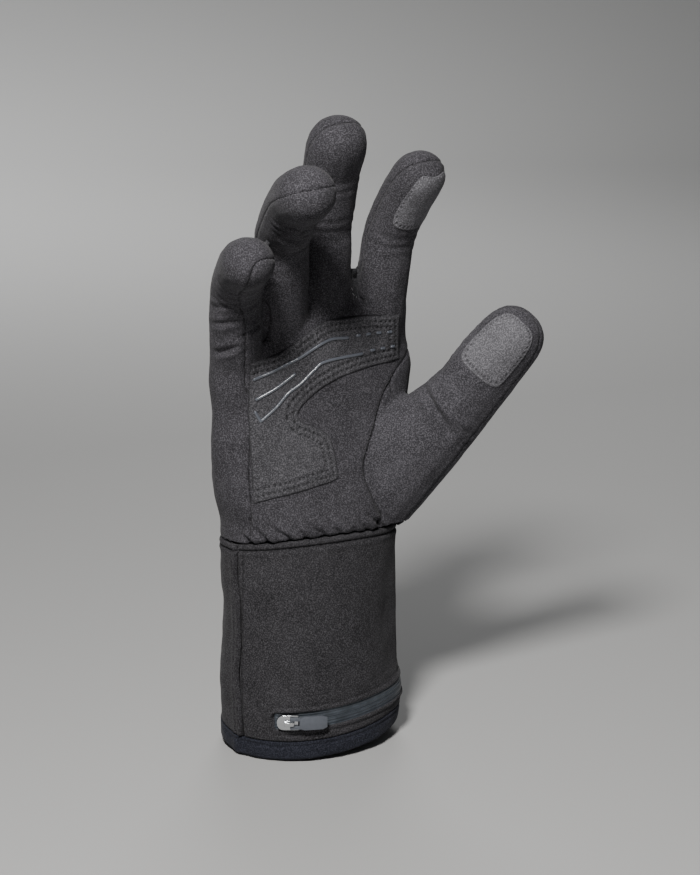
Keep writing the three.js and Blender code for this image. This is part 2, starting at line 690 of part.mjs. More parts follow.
// The slider, with X along the zip, Y up the cuff and Z out of it, and Z = 0 at its underside.
function sliderSolid() {
  const nose = sliderLength * 0.36;
  const half = sliderWidth / 2;
  const outline = new THREE.Shape();
  outline.moveTo(sliderEnd, -half);
  outline.lineTo(sliderEnd, half);
  outline.lineTo(sliderEnd - sliderLength + nose, half);
  outline.quadraticCurveTo(sliderEnd - sliderLength, half, sliderEnd - sliderLength, 0);
  outline.quadraticCurveTo(sliderEnd - sliderLength, -half, sliderEnd - sliderLength + nose, -half);
  outline.closePath();
  const plate = new THREE.ExtrudeGeometry(outline, { depth: sliderThickness, bevelEnabled: false, curveSegments: 5 });

  const pinRoom = pinRadius + runningGap;
  const wall = 0.7;
  const bridge = new THREE.Shape([
    [pinRoom + wall, -0.3],
    [pinRoom + wall, bridgeHeight - wall],
    [pinRoom, bridgeHeight],
    [-bridgeHeight, bridgeHeight],
    [-bridgeHeight - wall, bridgeHeight - wall],
    [-bridgeHeight - wall, -0.3],
  ].map(([x, z]) => new THREE.Vector2(x, z)));
  const window = new THREE.Path([
    [pinRoom, pinHeight - pinRoom],
    [-bridgeHeight + wall, pinHeight - pinRoom],
    [-bridgeHeight + wall, pinHeight + pinRoom],
    [pinRoom, pinHeight + pinRoom],
  ].map(([x, z]) => new THREE.Vector2(x, z)));
  bridge.holes.push(window);
  const arch = new THREE.ExtrudeGeometry(bridge, { depth: bridgeWidth, bevelEnabled: false });
  arch.rotateX(Math.PI / 2);
  arch.translate(0, bridgeWidth / 2, sliderThickness);
  return solidOf(plate).add(solidOf(arch));
}

// The pull, with its pin on the Y axis: a wire loop round the bridge and a moulded tab.
function pullSolid() {
  const armGap = bridgeWidth / 2 + runningGap;
  const armWidth = pullWidth / 2 - armGap - 0.3;
  const pin = new THREE.CylinderGeometry(pinRadius, pinRadius, 2 * (armGap + armWidth / 2), 8);
  const arms = [-1, 1].map((side) => {
    const arm = new THREE.BoxGeometry(armLength + pinRadius, armWidth, armThickness);
    arm.translate((armLength - pinRadius) / 2, side * (armGap + armWidth / 2), 0);
    return solidOf(arm);
  });
  const steps = 6;
  const corner = 0.8;
  const rings = [];
  for (let i = 0; i <= steps; i++) {
    const share = i / steps;
    const x = armLength - armThickness / 2 + share * pullLength;
    const sag = pullSag * share ** 2;
    const half = pullWidth / 2 - (i === 0 || i === steps ? corner : 0);
    const thick = (pullThickness / 2) * (i === 0 || i === steps ? 0.75 : 1);
    rings.push([
      new THREE.Vector3(x, half, -sag - thick),
      new THREE.Vector3(x, half, -sag + thick),
      new THREE.Vector3(x, -half, -sag + thick),
      new THREE.Vector3(x, -half, -sag - thick),
    ]);
  }
  return union([solidOf(pin), ...arms, solidOf(loft(rings))]);
}

// Cuts can leave crumbs where two faces nearly meet; only the piece itself is kept.
function largest(solid) {
  return solid.decompose().reduce((best, body) => (body.volume() > best.volume() ? body : best));
}

const material = (color, roughness, metalness = 0) =>
  new THREE.MeshStandardMaterial({ color, roughness, metalness });
const knit = () => material(0x2c2b2e, 0.95);
const part = (name, solid, finish) => {
  const welded = solidOf(geometryOf(largest(solid)));
  const mesh = new THREE.Mesh(geometryOf(largest(welded).simplify(weldTolerance)), finish);
  mesh.name = name;
  return mesh;
};

const patchTop = seamGap + patchThickness;
const stripeTop = patchTop + seamGap + stripeHeight;
const stripe = (points) => layer(strokeOutline(points, stripeWidth), patchTop + seamGap, stripeTop);

const glove = new THREE.Group();
glove.add(part("palm_panel", handSide.intersect(handFront(0)).subtract(gatherCut), knit()));
glove.add(part("back_panel", handSide.subtract(handFront(seamGap)), knit()));
glove.add(part("thumb_front_panel", thumbShell.intersect(thumbFront(0)), knit()));
glove.add(part("thumb_back_panel", thumbShell.subtract(thumbFront(seamGap)), knit()));
const gathers = gatherBand(seamGap, gatherHeight + seamGap, -clothWall, 0.2, gatherRelief, gatherSpan);
glove.add(part("wrist_gathers", gathers, knit()));
glove.add(part("palm_patch", layer(patchOutline.map(onHand), seamGap, patchTop), material(0x232326, 0.9)));
for (const [name, points] of Object.entries(gripLines)) {
  glove.add(part(`grip_stripe_${name}`, stripe(points.map(onHand)), material(0x111114, 0.25)));
}
gripDashes.forEach(({ across, up }, i) => {
  const ends = [-0.5, 0.5].map((side) => onHand([across + side * dashShare, up]));
  glove.add(part(`grip_dash_${i + 1}`, stripe(ends), material(0x111114, 0.25)));
});
for (const name of Object.keys(touchPatches)) {
  glove.add(part(`${name}_touch_patch`, touchPatch(name), material(0x4a4a4e, 0.8)));
}
glove.add(part("cuff_front_panel", cuffWall.intersect(cuffFront(0)).subtract(tapeCut), knit()));
glove.add(part("cuff_back_panel", cuffWall.subtract(cuffFront(seamGap)), knit()));
glove.add(part("cuff_hem", hem, material(0x23232f, 0.85)));
glove.add(part("zip_tape", tape, material(0x33363d, 0.5)));

// The slider lies on the tape; the pull turns on the slider's pin line.
const zipShare = zipHeight / cuffLength;
const seat = cuffPoint(zipShare, degrees(sliderAngle), seamGap - tapeDepth);
const beside = cuffPoint(zipShare, degrees(sliderAngle + 1), seamGap - tapeDepth);
const along = beside.sub(seat).setZ(0).normalize();
const outward = new THREE.Vector3().crossVectors(along, new THREE.Vector3(0, 0, 1));
const zipper = new THREE.Group();
zipper.position.copy(seat);
zipper.rotation.setFromRotationMatrix(new THREE.Matrix4().makeBasis(along, new THREE.Vector3(0, 0, 1), outward));
const slider = part("zip_slider", sliderSolid(), material(0xb9bbc0, 0.3, 1));
const pull = part("zip_pull", pullSolid(), material(0x55575c, 0.6));
pull.position.set(0, 0, sliderThickness + pinHeight);
pull.rotation.y = degrees(pullSlope);
zipper.add(slider, pull);
glove.add(zipper);
export default glove;
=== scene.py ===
# A heated glove liner for the right hand, dressed over its CAD frame. Lengths in the tables are millimetres.
import math

import bmesh
import bpy
import numpy as np
from mathutils import Matrix, Vector
from mathutils.bvhtree import BVHTree
from mathutils.kdtree import KDTree


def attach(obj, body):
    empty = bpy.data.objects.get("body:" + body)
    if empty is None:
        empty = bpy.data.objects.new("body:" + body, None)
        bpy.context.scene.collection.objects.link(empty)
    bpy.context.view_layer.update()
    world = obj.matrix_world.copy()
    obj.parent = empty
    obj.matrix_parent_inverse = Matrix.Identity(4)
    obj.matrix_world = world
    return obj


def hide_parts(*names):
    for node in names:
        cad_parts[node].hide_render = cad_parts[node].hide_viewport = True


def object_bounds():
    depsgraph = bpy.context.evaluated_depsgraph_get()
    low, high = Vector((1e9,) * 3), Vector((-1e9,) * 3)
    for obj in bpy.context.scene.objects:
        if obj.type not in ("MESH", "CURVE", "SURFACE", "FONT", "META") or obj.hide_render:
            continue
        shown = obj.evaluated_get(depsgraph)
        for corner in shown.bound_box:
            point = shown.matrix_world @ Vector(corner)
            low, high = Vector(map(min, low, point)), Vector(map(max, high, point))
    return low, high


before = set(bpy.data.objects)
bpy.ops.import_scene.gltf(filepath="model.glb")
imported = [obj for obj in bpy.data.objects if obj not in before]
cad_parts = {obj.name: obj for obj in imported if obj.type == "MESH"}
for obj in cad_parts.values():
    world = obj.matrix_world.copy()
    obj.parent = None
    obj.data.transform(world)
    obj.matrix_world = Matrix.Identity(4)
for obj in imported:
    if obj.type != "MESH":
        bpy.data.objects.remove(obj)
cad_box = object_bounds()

# The studio: a pale paper sweep under the glove, a small bright lamp above and in front of it, a weak one from
# the front, one behind it and one on the sweep. The camera stands a little above the palm and to its left.
MM = 0.001
camera_azimuth, camera_height = math.radians(-25), math.radians(15)
camera_aim = Vector((20.5, 0, 131)) * MM
camera_distance = 1.1
sensor_height, picture_height, focal_pixels = 24, 875, 2444.4

camera_data = bpy.data.cameras.new("camera")
camera_data.sensor_fit = "VERTICAL"
camera_data.sensor_height = sensor_height
camera_data.lens = focal_pixels / picture_height * sensor_height
camera = bpy.data.objects.new("camera", camera_data)
bpy.context.scene.collection.objects.link(camera)
towards_camera = Vector((
    math.sin(camera_azimuth) * math.cos(camera_height),
    -math.cos(camera_azimuth) * math.cos(camera_height),
    math.sin(camera_height),
))
camera.location = camera_aim + towards_camera * camera_distance
camera.rotation_euler = towards_camera.to_track_quat("Z", "Y").to_euler()
bpy.context.scene.camera = camera


def add_lamp(name, place, aim, size, power, colour=(1.0, 1.0, 1.0)):
    data = bpy.data.lights.new(name, "AREA")
    data.shape = "DISK"
    data.size = size
    data.energy = power
    data.color = colour
    lamp = bpy.data.objects.new(name, data)
    lamp.location = place
    lamp.rotation_euler = (Vector(place) - Vector(aim)).to_track_quat("Z", "Y").to_euler()
    bpy.context.scene.collection.objects.link(lamp)


add_lamp("key_lamp", (-0.37, -0.50, 0.76), (0, 0, 0.18), 0.17, 11.5, (1.0, 0.985, 0.965))
add_lamp("fill_lamp", (0.3, -1.4, 0.45), (0, 0, 0.12), 0.9, 0.25, (0.94, 0.96, 1.0))
add_lamp("back_lamp", (0.5, 1.0, 0.9), (0, 0, 0.15), 0.6, 6)
add_lamp("sweep_lamp", (0.0, 1.5, 1.2), (0, 2.6, 0.3), 1.2, 30)

world = bpy.data.worlds.new("studio")
world.use_nodes = True
sky = world.node_tree.nodes["Background"]
sky.inputs["Color"].default_value = (0.9, 0.92, 0.95, 1)
sky.inputs["Strength"].default_value = 0.08
bpy.context.scene.world = world



def finish_of(name, values):
    """A new material, its node tree and its shader, with values set on the shader's own sockets."""
    finish = bpy.data.materials.new(name)
    finish.use_nodes = True
    shader = finish.node_tree.nodes["Principled BSDF"]
    for socket, value in values.items():
        shader.inputs[socket].default_value = value
    return finish, finish.node_tree, shader


floor_reach, floor_gap = 5, 0.6 * MM
sweep_from, sweep_rise = 1.6, 0.12
floor_mesh = bmesh.new()
bmesh.ops.create_grid(floor_mesh, x_segments=80, y_segments=80, size=floor_reach)
bmesh.ops.translate(floor_mesh, verts=floor_mesh.verts, vec=(0, 0, cad_box[0][2] - floor_gap))
for vert in floor_mesh.verts:
    vert.co.z += sweep_rise * max(0.0, math.hypot(vert.co.x, vert.co.y) - sweep_from) ** 2
floor_data = bpy.data.meshes.new("floor")
floor_mesh.to_mesh(floor_data)
floor_data.shade_smooth()
floor = bpy.data.objects.new("floor", floor_data)
bpy.context.scene.collection.objects.link(floor)
floor_data.materials.append(finish_of("floor_paper", {"Base Color": (0.44, 0.44, 0.435, 1), "Roughness": 0.85})[0])

# The hand's cloth: four panels of brushed stretch knit, cut for the palm, the back and the two sides of the
# thumb, and sewn edge to edge. They are worked here as one skin, so that the cloth runs on across the seams;
# then the seams are pressed in, the folds laid, and the skin is parted into its panels again.
cloth_grid = 0.86 * MM
sewn_gap = 0.22 * MM
hand_nodes = ["palm_panel", "back_panel", "thumb_front_panel", "thumb_back_panel", "wrist_gathers"]


def copied(names, grow=0.0):
    """The named CAD nodes in one mesh, their loose triangles merged, grown outwards a little."""
    bm = bmesh.new()
    for name in names:
        bm.from_mesh(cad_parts[name].data)
    bmesh.ops.remove_doubles(bm, verts=bm.verts, dist=2e-6)
    if grow:
        bm.normal_update()
        for v in bm.verts:
            v.co += v.normal * grow
    return bm


def made(name, bm):
    """A smooth object from a bmesh, which is used up."""
    data = bpy.data.meshes.new(name)
    bm.to_mesh(data)
    bm.free()
    data.shade_smooth()
    piece = bpy.data.objects.new(name, data)
    bpy.context.scene.collection.objects.link(piece)
    return piece


def applied(piece):
    """Puts a piece's modifiers into its mesh."""
    bpy.context.view_layer.update()
    shaped = bpy.data.meshes.new_from_object(piece.evaluated_get(bpy.context.evaluated_depsgraph_get()))
    piece.modifiers.clear()
    old, piece.data = piece.data, shaped
    bpy.data.meshes.remove(old)
    shaped.shade_smooth()


def felted(name, bm, grid, smoothing):
    """The mesh as one even skin, with its facets smoothed away."""
    piece = made(name, bm)
    remesh = piece.modifiers.new("even", "REMESH")
    remesh.mode = "VOXEL"
    remesh.voxel_size = grid
    smooth = piece.modifiers.new("soft", "SMOOTH")
    smooth.factor = 0.5
    smooth.iterations = smoothing
    applied(piece)
    return piece


def read(items, field, each, kind):
    """One field of a mesh's vertices, edges or corners, with so many numbers for each."""
    out = np.empty(len(items) * each, kind)
    items.foreach_get(field, out)
    return out


def points_of(data, field="co"):
    """The mesh's points, or with "normal" their normals, as rows of three."""
    return read(data.vertices, field, 3, np.float32).reshape(-1, 3).astype(float)


def put_points(data, co):
    data.vertices.foreach_set("co", co.astype(np.float32).ravel())
    data.update()


def distances(co, trees):
    """Distance from each point to each of the trees."""
    out = np.empty((len(co), len(trees)))
    for i, p in enumerate(co):
        at = Vector(p)
        for k, tree in enumerate(trees):
            out[i, k] = tree.find_nearest(at)[3]
    return out


def ripple(co, length, seed):
    """A smooth uneven swell between -1 and 1, about length across."""
    rng = np.random.default_rng(seed)
    total = np.zeros(len(co))
    for _ in range(7):
        way = rng.normal(size=3)
        way /= np.linalg.norm(way)
        wave = length * rng.uniform(0.7, 1.5)
        shift = rng.uniform(0, 2 * math.pi)
        total += np.sin(co @ way * (2 * math.pi / wave) + shift)
    return total / 4


def along_line(points, step):
    """Points at even steps along a smooth line through the given ones."""
    p = np.array(points, float)
    padded = np.vstack([2 * p[0] - p[1], p, 2 * p[-1] - p[-2]])
    out = []
    for i in range(len(p) - 1):
        a, b, c, d = padded[i:i + 4]
        count = max(2, int(np.linalg.norm(c - b) / step))
        for t in np.arange(count) / count:
            square = (2 * a - 5 * b + 4 * c - d) * t**2
            cube = (3 * b - a - 3 * c + d) * t**3
            out.append(0.5 * (2 * b + (c - a) * t + square + cube))
    out.append(p[-1])
    return np.array(out)


plug_size, plug_middle = Vector((40.6, 26.1, 9)) * MM, 90.5 * MM


def plugged(names):
    """The hand's CAD panels, closed at the wrist by a plug, so that a remesh keeps only their outer side."""
    bm = copied(names, sewn_gap)
    plug = bmesh.ops.create_cone(bm, cap_ends=True, segments=64, radius1=1, radius2=1, depth=1)["verts"]
    bmesh.ops.scale(bm, verts=plug, vec=plug_size)
    bmesh.ops.translate(bm, verts=plug, vec=(0, 0, plug_middle))
    return bm


hand = felted("hand_skin", plugged(hand_nodes), cloth_grid, 26)

# Below the wrist seam the skin is open again.
wrist_seam, seam_lift = 91.2 * MM, 4 * MM
wrist_half_width, wrist_half_depth = 41.5, 27
foot_band, foot_slope = 1.6 * MM, -0.45
hand_bm = bmesh.new()
hand_bm.from_mesh(hand.data)
hand_bm.normal_update()


def seam_height(x, y):
    """Height of the wrist seam, which climbs at the palm."""
    around = math.atan2(x / wrist_half_width, -y / wrist_half_depth)
    return wrist_seam + seam_lift * max(0.0, math.cos(around)) ** 2


foot_faces = []
for face in hand_bm.faces:
    x, y, z = face.calc_center_median()
    edge = seam_height(x, y)
    if z < edge or (z < edge + foot_band and face.normal.z < foot_slope):
        foot_faces.append(face)
bmesh.ops.delete(hand_bm, geom=foot_faces, context="FACES")
hand_bm.to_mesh(hand.data)
hand_bm.free()

# Folds of the cloth on the front of the hand, each a line of points, with its depth, its width and how much the
# cloth swells beside it.
folds = [
    ([(46.5, -22.9, 157.5), (45.6, -29.7, 152.5), (46.8, -32.4, 148.0), (49.8, -35.3, 142.4), (54.0, -35.9, 136.6)],
     1.7, 1.7, 0.6),
    ([(50.5, -22.0, 161.5), (49.6, -29.7, 157.5), (51.5, -34.0, 154.0)], 0.8, 1.5, 0.5),
    ([(-50.6, -11.9, 192.6), (-46.8, -21.9, 194.2), (-40.6, -24.6, 195.5)], 0.7, 1.2, 0.4),
    ([(-48.4, -8.5, 178.6), (-45.1, -14.5, 180.6), (-38.2, -17.9, 184.5), (-29.0, -12.0, 186.0)], 1.2, 1.3, 0.5),
    ([(-40.9, -20.7, 187.7), (-33.9, -20.7, 190.7), (-24.8, -16.4, 192.4)], 0.9, 1.1, 0.5),
    ([(-50.9, -14.6, 200.5), (-48.5, -25.0, 203.0), (-43.0, -28.0, 205.0)], 0.4, 1.2, 0.3),
    ([(-33.5, -52.6, 239.4), (-29.6, -54.1, 238.4), (-21.3, -50.6, 236.9)], 0.8, 1.4, 0.4),
    ([(-32.0, -44.0, 234.0), (-26.5, -44.3, 231.0), (-18.5, -42.0, 231.5)], 0.9, 1.5, 0.4),
    ([(-3.4, -10.1, 202.6), (0.2, -12.7, 198.3), (1.5, -13.5, 193.0)], 0.6, 1.6, 0.3),
    ([(19.8, -8.0, 206.5), (20.0, -9.5, 203.0), (20.6, -11.5, 199.0), (21.0, -12.5, 195.5)], 1.6, 1.0, 0.5),
]

hand_co = points_of(hand.data)
hand_normals = points_of(hand.data, "normal")
panel_trees = [BVHTree.FromBMesh(copied([name])) for name in hand_nodes]
reach = distances(hand_co, panel_trees)


def by_panel(near):
    """Distances to the four panels. The gathers are a part of the palm's edge, with no seam between the two."""
    return np.column_stack([np.minimum(near[:, 0], near[:, 4]), near[:, 1], near[:, 2], near[:, 3]])


def on_seam(corners, panel):
    """For each point, the lowest and highest panel of the faces around it."""
    lowest = np.full(corners.max() + 1, 99)
    highest = np.full(corners.max() + 1, -1)
    for k in range(4):
        np.minimum.at(lowest, corners[:, k], panel)
        np.maximum.at(highest, corners[:, k], panel)
    return lowest, highest


def evened(values, edges, rounds, weight=0.5):
    """Values drawn towards the mean of their neighbours', over and over."""
    count = np.maximum(np.bincount(edges.ravel(), minlength=len(values)), 1)
    weight = np.broadcast_to(weight, len(values))
    out = values.copy()
    for _ in range(rounds):
        for k in range(out.shape[1]):
            total = np.bincount(edges[:, 0], out[edges[:, 1], k], len(out))
            total = total + np.bincount(edges[:, 1], out[edges[:, 0], k], len(out))
            out[:, k] += weight * (total / count - out[:, k])
    return out


def ramp(values, start, run):
    """0 up to start and 1 past start + run, or the other way round where run is negative."""
    return np.clip((values - start) / run, 0, 1)


# The webs on the back of the hand are drawn smooth, and the one at the index finger all round.
hand_edges = read(hand.data.edges, "vertices", 2, np.int32).reshape(-1, 2)
at_webs = ramp(hand_normals[:, 1], 0.1, 0.3) * ramp(hand_co[:, 2], 165 * MM, 12 * MM)
at_webs *= ramp(hand_co[:, 2], 232 * MM, -12 * MM)
hand_co = evened(hand_co, hand_edges, 90, 0.5 * at_webs)
index_web, web_reach = np.array([19.8, -4.0, 207.0]) * MM, 8 * MM
from_web = np.linalg.norm(hand_co - index_web, axis=1)
hand_co = evened(hand_co, hand_edges, 60, 0.5 * np.clip(1.7 - from_web / web_reach, 0, 1))

# Each face goes to the panel that it lies nearest to. Below the little finger, the seam between the palm and the
# back is drawn towards the patch.
hand_corners = read(hand.data.loops, "vertex_index", 1, np.int32).reshape(-1, 4)
panel_reach = by_panel(reach)
little_side = ramp(hand_co[:, 2], 140 * MM, 10 * MM) * ramp(hand_co[:, 2], 208 * MM, -12 * MM)
seam_draw = 4.6 * MM
panel_reach[:, 0] += seam_draw * little_side * (hand_co[:, 0] < -22 * MM) * (hand_co[:, 1] < 5 * MM)
panel_reach = evened(panel_reach, hand_edges, 45)
hand_panel = panel_reach[hand_corners].mean(1).argmin(1)
seam_low, seam_high = on_seam(hand_corners, hand_panel)
is_seam = seam_low < seam_high
seam_edges = hand_edges[is_seam[hand_edges].all(1)]
hand_co = evened(hand_co, seam_edges, 14, np.where(is_seam, 0.5, 0.0))
put_points(hand.data, hand_co)
hand_normals = points_of(hand.data, "normal")
seam_points = KDTree(int(is_seam.sum()) + len(seam_edges))
for i, p in enumerate(np.concatenate([hand_co[is_seam], hand_co[seam_edges].mean(1)])):
    seam_points.insert(Vector(p), i)
seam_points.balance()
from_seam = np.array([seam_points.find(Vector(p))[2] for p in hand_co])
# The seam hardly shows round the tip of the ring finger.
ring_tip, ring_reach = np.array((-26.0, -56.0, 252.0)) * MM, 24 * MM
seam_show = 1 - 0.8 * np.exp(-((np.linalg.norm(hand_co - ring_tip, axis=1) / ring_reach) ** 2))


def swell(d, middle, width):
    """1 at the middle, falling away smoothly to both sides."""
    return np.exp(-(((d - middle) / width) ** 2))


# How far each point of the cloth stands out: the seams' grooves with puckers beside them, and a slow unevenness.
groove_depth, groove_width = 0.5 * MM, 0.62 * MM
pucker_rise, pucker_place, pucker_width = 0.3 * MM, 1.8 * MM, 1.0 * MM
pucker = 0.5 + 0.5 * ripple(hand_co, 3.6 * MM, 4)
height = -groove_depth * seam_show * (0.6 + 0.4 * pucker) * swell(from_seam, 0, groove_width)
height += pucker_rise * seam_show * pucker * swell(from_seam, pucker_place, pucker_width)
height += 0.16 * MM * ripple(hand_co, 17 * MM, 1) + 0.07 * MM * ripple(hand_co, 6.5 * MM, 2)
skin_tree = BVHTree.FromPolygons([Vector(p) for p in hand_co], hand_corners.tolist())
fold_reach = 25 * MM
for points, depth, width, lift in folds:
    line = along_line([skin_tree.find_nearest(Vector(p) * MM)[0][:] for p in points], 0.5 * MM)
    near = np.where(np.abs(hand_co - line.mean(0)).max(axis=1) < fold_reach)[0]
    apart = np.linalg.norm(hand_co[near, None, :] - line[None, :, :], axis=2)
    nearest = apart.argmin(1)
    d = apart[np.arange(len(near)), nearest]
    fade = np.sin(math.pi * (nearest + 0.5) / len(line)) ** 0.6
    height[near] -= 1.5 * depth * MM * fade * swell(d, 0, width * MM)
    height[near] += 1.4 * lift * MM * fade * swell(d, 2.1 * width * MM, width * MM)

# Folds across the inside of each bent joint, three to a joint: its centre, the way of the digit, the side that
# the folds face, their depth and their spacing.
joint_folds = [
    ((33.7, -12.2, 224.5), (0.08, -0.42, 0.90), (0.12, -0.93, -0.35), 0.32, 2.0),
    ((4.4, -9.0, 232.1), (-0.07, -0.30, 0.95), (0.02, -0.95, -0.30), 0.3, 2.0),
    ((3.0, -17.1, 251.5), (-0.07, -0.42, 0.90), (0.03, -0.91, -0.41), 0.25, 1.8),
    ((-22.7, -26.0, 231.9), (-0.15, -0.70, 0.70), (0.0, -0.75, -0.66), 0.6, 2.2),
    ((-26.2, -44.4, 245.7), (-0.15, -0.83, 0.53), (0.04, -0.56, -0.83), 0.5, 1.8),
    ((-42.1, -20.0, 209.0), (-0.18, -0.70, 0.68), (-0.06, -0.72, -0.69), 0.55, 2.1),
    ((-45.5, -34.4, 219.3), (-0.18, -0.87, 0.46), (-0.02, -0.50, -0.87), 0.35, 1.8),
    ((57.5, -25.0, 146.0), (0.52, -0.38, 0.77), (-0.50, -0.86, -0.08), 0.35, 2.4),
]
digit_reach, joint_reach = 17 * MM, 12 * MM
for centre, way, facing, depth, spacing in joint_folds:
    pitch = 2.6 * spacing * MM
    offset = hand_co - np.array(centre) * MM
    s = offset @ np.array(way)
    sideways = np.linalg.norm(offset - s[:, None] * np.array(way), axis=1)
    front = np.clip(hand_normals @ np.array(facing), 0, 1) ** 0.7
    near = (sideways < digit_reach) * (np.abs(s) < joint_reach)
    s = s + 1.1 * MM * ripple(hand_co, 13 * MM, 11)
    near = near * front * depth * MM
    for step, share in ((-1, 0.5), (0, 1.0), (1, 0.6)):
        height -= near * 1.15 * share * swell(s, step * pitch, spacing * 0.62 * MM)
        height += near * 0.6 * share * swell(s, (step + 0.5) * pitch, spacing * 0.8 * MM)

# The gathers: slanting tucks along the palm's edge, just above the wrist seam.
tuck_count, tuck_slant, tuck_sway = 9, 6.5 * MM, 1.6 * MM
band_left, band_right, band_height = -38 * MM, 34 * MM, 7 * MM
tucks_run = 68 * MM
band_x = hand_co[:, 0]
band_up = (hand_co[:, 2] - np.array([seam_height(x, y) for x, y in hand_co[:, :2]])) / band_height
in_band = ramp(band_x, band_left, 3 * MM) * ramp(band_x, band_right, -6 * MM) * (hand_normals[:, 1] < 0.1)
in_band *= (np.abs(band_up) < 2) * (hand_co[:, 1] < 0)
uneven = ripple(np.column_stack([band_x, band_x * 0, band_x * 0]), 14 * MM, 9)
tuck_phase = (band_x - band_left + tuck_slant * band_up + tuck_sway * uneven) / tucks_run * tuck_count % 1
tuck_fade = np.clip(1 - ((band_up - 0.5) / (0.62 + 0.2 * uneven)) ** 2, 0, 1)
tuck = 0.5 - 3.0 * swell(tuck_phase, 0.5, 0.13) + 1.2 * swell(tuck_phase, 0.76, 0.15)
height += in_band * tuck_fade * MM * tuck
height -= in_band * 0.5 * MM * swell(band_up, 0.0, 0.12)

# The cloth takes these heights, and no point of it stands up sharply from the points round it.
sharp_rise = 0.4 * MM
hand_co = evened(hand_co + hand_normals * height[:, None], hand_edges, 2, 0.35)
sharp = np.linalg.norm(evened(hand_co, hand_edges, 1, 1.0) - hand_co, axis=1) > sharp_rise
hand_co = evened(hand_co, hand_edges, 6, 0.5 * sharp)
slit_depth, slit_half_width = 8 * MM, 2.5 * MM


def slit_drop(points):
    """Metres that the web between the index and middle fingers is slit down, at each point."""
    in_height = ramp(points[:, 2], 186 * MM, 20 * MM) * ramp(points[:, 2], 228 * MM, -16 * MM)
    return slit_depth * swell(points[:, 0], index_web[0], slit_half_width) * in_height


hand_co[:, 2] -= slit_drop(hand_co)
put_points(hand.data, hand_co)


def add_measure(data, name, values):
    """Puts a number for each point into the mesh, for the cloth's finish to read."""
    data.attributes.new(name, "FLOAT", "POINT").data.foreach_set("value", values.astype(np.float32))


# How near a seam is, from 0 on it to 1 clear of it, for the painted shade in the seam's groove, with breaks in that
# painted dark line.
seam_reach = 4 * MM
seam_shade_breaks = 0.16 * (ripple(hand_co, 2.6 * MM, 71) > 0.1)
add_measure(hand.data, "seam", np.clip(from_seam / seam_reach + 0.2 * (1 - seam_show) + seam_shade_breaks, 0, 1))


def turned_in(bm, depth):
    """Turns the open edges of a panel inwards, as its seam allowance."""
    bm.normal_update()
    edges = [e for e in bm.edges if e.is_boundary]
    inward = {tuple(v.co): v.normal.copy() for e in edges for v in e.verts}
    grown = bmesh.ops.extrude_edge_only(bm, edges=edges)["geom"]
    for v in grown:
        if isinstance(v, bmesh.types.BMVert):
            v.co -= inward[tuple(v.co)] * depth


def parted(skin, panel, names, depth):
    """The skin cut apart into its panels."""
    pieces = []
    for k, name in enumerate(names):
        bm = bmesh.new()
        bm.from_mesh(skin.data)
        bm.faces.ensure_lookup_table()
        bmesh.ops.delete(bm, geom=[f for f in bm.faces if panel[f.index] != k], context="FACES")
        turned_in(bm, depth)
        pieces.append(made(name, bm))
    return pieces


def group_of(name, inputs, outputs):
    """A shader node group with its sockets, and its inner nodes at hand."""
    group = bpy.data.node_groups.new(name, "ShaderNodeTree")
    for label, kind, value in inputs:
        socket = group.interface.new_socket(name=label, in_out="INPUT", socket_type=kind)
        if value is not None:
            socket.default_value = value
    for label, kind in outputs:
        group.interface.new_socket(name=label, in_out="OUTPUT", socket_type=kind)
    return group, group.nodes.new("NodeGroupInput"), group.nodes.new("NodeGroupOutput")


def node(tree, kind, inputs=(), **settings):
    """A node with its settings, each input a value or another node's output."""
    made_node = tree.nodes.new(kind)
    for key, value in settings.items():
        setattr(made_node, key, value)
    for key, value in dict(inputs).items():
        if isinstance(value, bpy.types.NodeSocket):
            tree.links.new(value, made_node.inputs[key])
        else:
            made_node.inputs[key].default_value = value
    return made_node


def math_of(tree, operation, a, b):
    return node(tree, "ShaderNodeMath", {0: a, 1: b}, operation=operation).outputs[0]


def clamped_ramp(tree, value, low, high):
    """0 at low, 1 at high, and no further."""
    return node(tree, "ShaderNodeMapRange", {"Value": value, "From Min": low, "From Max": high}).outputs["Result"]


def noise_of(tree, vector, scale, detail=2.0, roughness=0.5):
    inputs = {"Vector": vector, "Scale": scale, "Detail": detail, "Roughness": roughness}
    return node(tree, "ShaderNodeTexNoise", inputs).outputs["Fac"]


def place_in(tree):
    return node(tree, "ShaderNodeTexCoord").outputs["Object"]


def two_shades(tree, shader, share, dark, light):
    """Colours the shader between a dark and a light shade."""
    mixed = node(tree, "ShaderNodeMix", {"Factor": share, "A": (*dark, 1), "B": (*light, 1)}, data_type="RGBA")
    tree.links.new(mixed.outputs[2], shader.inputs["Base Color"])


def bumped(tree, shader, height, strength, distance):
    """Gives the shader fine bumps."""
    raised = node(tree, "ShaderNodeBump", {"Height": height, "Strength": strength, "Distance": distance})
    tree.links.new(raised.outputs["Normal"], shader.inputs["Normal"])


# Brushed knit: flecks of lighter fibre, the ribs of the knit under the nap, and slow unevenness.
knit_group, knit_in, knit_out = group_of(
    "brushed_knit",
    [("Vector", "NodeSocketVector", None), ("Rib", "NodeSocketFloat", 0.3)],
    [("Tone", "NodeSocketFloat"), ("Height", "NodeSocketFloat")],
)
knit_place = knit_in.outputs["Vector"]
flecked = clamped_ramp(knit_group, noise_of(knit_group, knit_place, 1800, 3, 0.65), 0.45, 0.66)
fibre = noise_of(knit_group, knit_place, 3600, 1, 0.5)
patchy = clamped_ramp(knit_group, noise_of(knit_group, knit_place, 70, 3, 0.6), 0.3, 0.7)
ribs = node(knit_group, "ShaderNodeTexWave", {
    "Vector": knit_place, "Scale": 210, "Distortion": 1.2, "Detail": 1, "Detail Scale": 2,
}, bands_direction="DIAGONAL").outputs["Fac"]
tone = math_of(knit_group, "MULTIPLY", flecked, 0.66)
